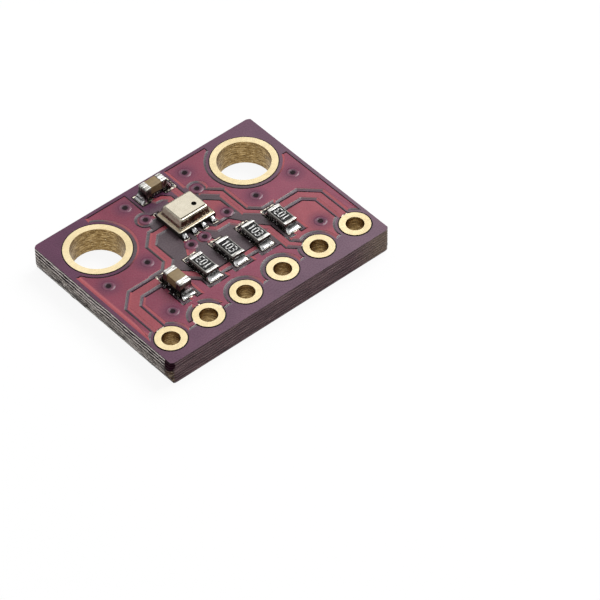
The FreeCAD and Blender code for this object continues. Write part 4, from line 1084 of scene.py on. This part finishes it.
# Inset from the flange's edge along X and along Y, corner radius, height
lid_rows = [(0, 0, 0.12, low.z), (0, 0, 0.12, 1.9), (0.01, 0.01, 0.12, 1.912), (0.07, 0.07, 0.11, 1.926),
            (0.17, 0.15, 0.1, 1.93), (0.2, 0.17, 0.1, 1.94), (0.22, 0.19, 0.11, 1.98),
            (0.27, 0.195, 0.12, 2.2)]
for k in range(SHOULDER_STEPS + 1):
    angle = math.pi / 2 * k / SHOULDER_STEPS
    inset = 1 - math.cos(angle)
    lid_rows.append((0.305 + 0.045 * inset, 0.2 + 0.11 * inset, 0.12, 2.37 + 0.11 * math.sin(angle)))
lid_rows += [(0.36, 0.33, 0.11, 2.482), (0.375, 0.345, 0.1, 2.5), (0.385, 0.355, 0.1, 2.53),
             (0.395, 0.365, 0.09, high.z), (0.405, 0.375, 0.09, high.z)]
loops = [(rounded_rectangle(centre, half_x - a, half_y - b, r), z) for a, b, r, z in lid_rows]
vent = centre + Vector((VENT_X, VENT_Y))
points_round = len(loops[-1][0])
for wider, over in VENT_LOOPS:
    spots = circle(points_round, VENT_RADIUS + wider, turn=VENT_TURN)
    loops.append(([vent + Vector(spot) for spot in spots], high.z + over))
lid, mesh = new_piece("sensor_lid_pressed")
mesh.faces.new(stacked(mesh, loops)[-1])
put_back(lid, mesh, nickel, ("sensor_lid",), smooth=True, sharp=40)
# The vent's tube and the disc that closes it get the black resin: painted shade of the dark cavity under
# the lid.
lid.data.materials.append(resin_and_vent_shade)
for face in lid.data.polygons[-2 * points_round - 1:]:
    face.material_index = 1
print("pressed the lid from", len(loops), "loops")

# %% [markdown]
# ## Beads at the sensor
#
# The contacts end under the base, and solder bulges out from each as a small bright bead. The patch of
# the fillets makes these too, with a rounded height in place of the hollow one.

# %% Solder beads at the sensor
BEAD_HEIGHT, BEAD_WIDTH, BEAD_SINK = 0.24, 0.36, 0.04
CONTACT_WIDTH = 0.35


def bead_height(v, u):
    """A rounded bead that is fullest close to the sensor."""
    return BEAD_HEIGHT * math.sqrt(max(1 - u ** 2.4, 0)) * math.sqrt(max(1 - v ** 2.2, 0))


low, high = corners("sensor_substrate")
contact_low, contact_high = corners("sensor_contacts")
bead_low, bead_high = corners("sensor_solder")
piece, mesh = new_piece("sensor_beads")
pitch = (contact_high.x - contact_low.x - CONTACT_WIDTH) / 3
reach = bead_high.y - high.y + BEAD_SINK
for k in range(4):
    x = contact_low.x + CONTACT_WIDTH / 2 + k * pitch
    for edge, way in ((low.y, -1), (high.y, 1)):
        start = Vector((x, edge - way * BEAD_SINK))
        fillet(mesh, start, Vector((0, way)), reach, BEAD_WIDTH, bead_low.z, bead_height)
put_back(piece, mesh, solder, ("sensor_solder",), smooth=True)
print("eight beads,", round(pitch, 2), "mm apart")

# %% [markdown]
# ## The floor
#
# The board lies on a plain pale floor. To the camera and to metal the floor is mostly plain white, like
# a page, and a share of its own paint is left to carry the soft shadow of the board.

# %% Floor
FLOOR_HALF, FLOOR_HEIGHT = 1500, -0.004

floor_paint, tree, shader = finish("pale_floor", Roughness=0.7)
paint(shader, blend(noise(tree, 0.05), (0.94, 0.94, 0.94), (0.97, 0.97, 0.97)))
rays = add(tree, "LightPath").outputs
mirrored_rays = combine("MAXIMUM", rays["Is Glossy Ray"], rays["Is Transmission Ray"])
seen = combine("MAXIMUM", rays["Is Camera Ray"], mirrored_rays)
white = add(tree, "Emission", {"Color": (1, 1, 1, 1), "Strength": 1.0}).outputs[0]
paler = add(tree, "MixShader", {0: times(seen, 0.9), 1: shader.outputs[0], 2: white})
feed(tree.nodes["Material Output"], "Surface", paler.outputs[0])
floor, mesh = new_piece("floor")
spots = [(FLOOR_HALF * x, FLOOR_HALF * y, FLOOR_HEIGHT) for x, y in ((-1, -1), (1, -1), (1, 1), (-1, 1))]
mesh.faces.new([mesh.verts.new(Vector(spot) * MM) for spot in spots])
mesh.to_mesh(floor.data)
mesh.free()
floor.data.materials.append(floor_paint)
print("floor is", 2 * FLOOR_HALF * MM, "m wide")

# %% [markdown]
# ## Light
#
# Metal needs something to mirror: a bright soft light on the right, a wide one behind, and a dark
# horizon, so that faces that look up shine and others go dark. A weak light opens the shadows.

# %% Lights and world
def softbox(name, azimuth, elevation, distance, size, power):
    """A square soft light that looks at the board from a direction in degrees, in metres and watts."""
    lamp = bpy.data.lights.new(name, "AREA")
    lamp.shape = "SQUARE"
    lamp.size = size
    lamp.energy = power
    stand = bpy.data.objects.new(name, lamp)
    bpy.context.scene.collection.objects.link(stand)
    turn, tilt = math.radians(azimuth), math.radians(elevation)
    way = Vector((math.sin(turn) * math.cos(tilt), -math.cos(turn) * math.cos(tilt), math.sin(tilt)))
    stand.location = way * distance
    stand.rotation_euler = way.to_track_quat("Z", "Y").to_euler()
    stand.visible_camera = False
    print(name, "stands", distance, "m away")


softbox("key", azimuth=94, elevation=50, distance=0.5, size=0.27, power=1.9)
softbox("back_softbox", azimuth=140, elevation=50, distance=0.5, size=0.45, power=0.55)
softbox("front_fill", azimuth=-70, elevation=30, distance=0.6, size=0.3, power=0.25)

world = bpy.data.worlds.new("studio")
bpy.context.scene.world = world
world.use_nodes = True
tree = world.node_tree
sky = tree.nodes["Background"]
direction = add(tree, "SeparateXYZ", {0: add(tree, "TexCoord").outputs["Generated"]})
overhead = fade(direction.outputs["Z"], 0.3, 0.8)
feed(sky, "Color", blend(overhead, (0.03, 0.03, 0.03), (0.55, 0.55, 0.55)))

# %% [markdown]
# ## Camera
#
# The camera stands far away with a long lens. Its place and turn were worked out from the middles of
# the eight holes, whose real distances are known.

# %% Camera
PLACE_MM = Vector((-93.123, -117.455, 149.669))
RIGHT = Vector((0.75535793, -0.65518365, -0.0129915))
UP = Vector((0.47504123, 0.5338011, 0.69956573))
LENS_MM = 238.53

camera = bpy.data.objects.new("camera", bpy.data.cameras.new("camera"))
bpy.context.scene.collection.objects.link(camera)
camera.data.sensor_width = 36
camera.data.lens = LENS_MM
camera.data.clip_start = 0.01
camera.data.clip_end = 20
turn = Matrix((RIGHT, UP, RIGHT.cross(UP))).transposed()
camera.matrix_world = Matrix.Translation(PLACE_MM * MM) @ turn.to_4x4()
bpy.context.scene.camera = camera
bpy.context.scene.view_settings.view_transform = "Standard"
print("camera stands", round(camera.location.length / MM), "mm away")
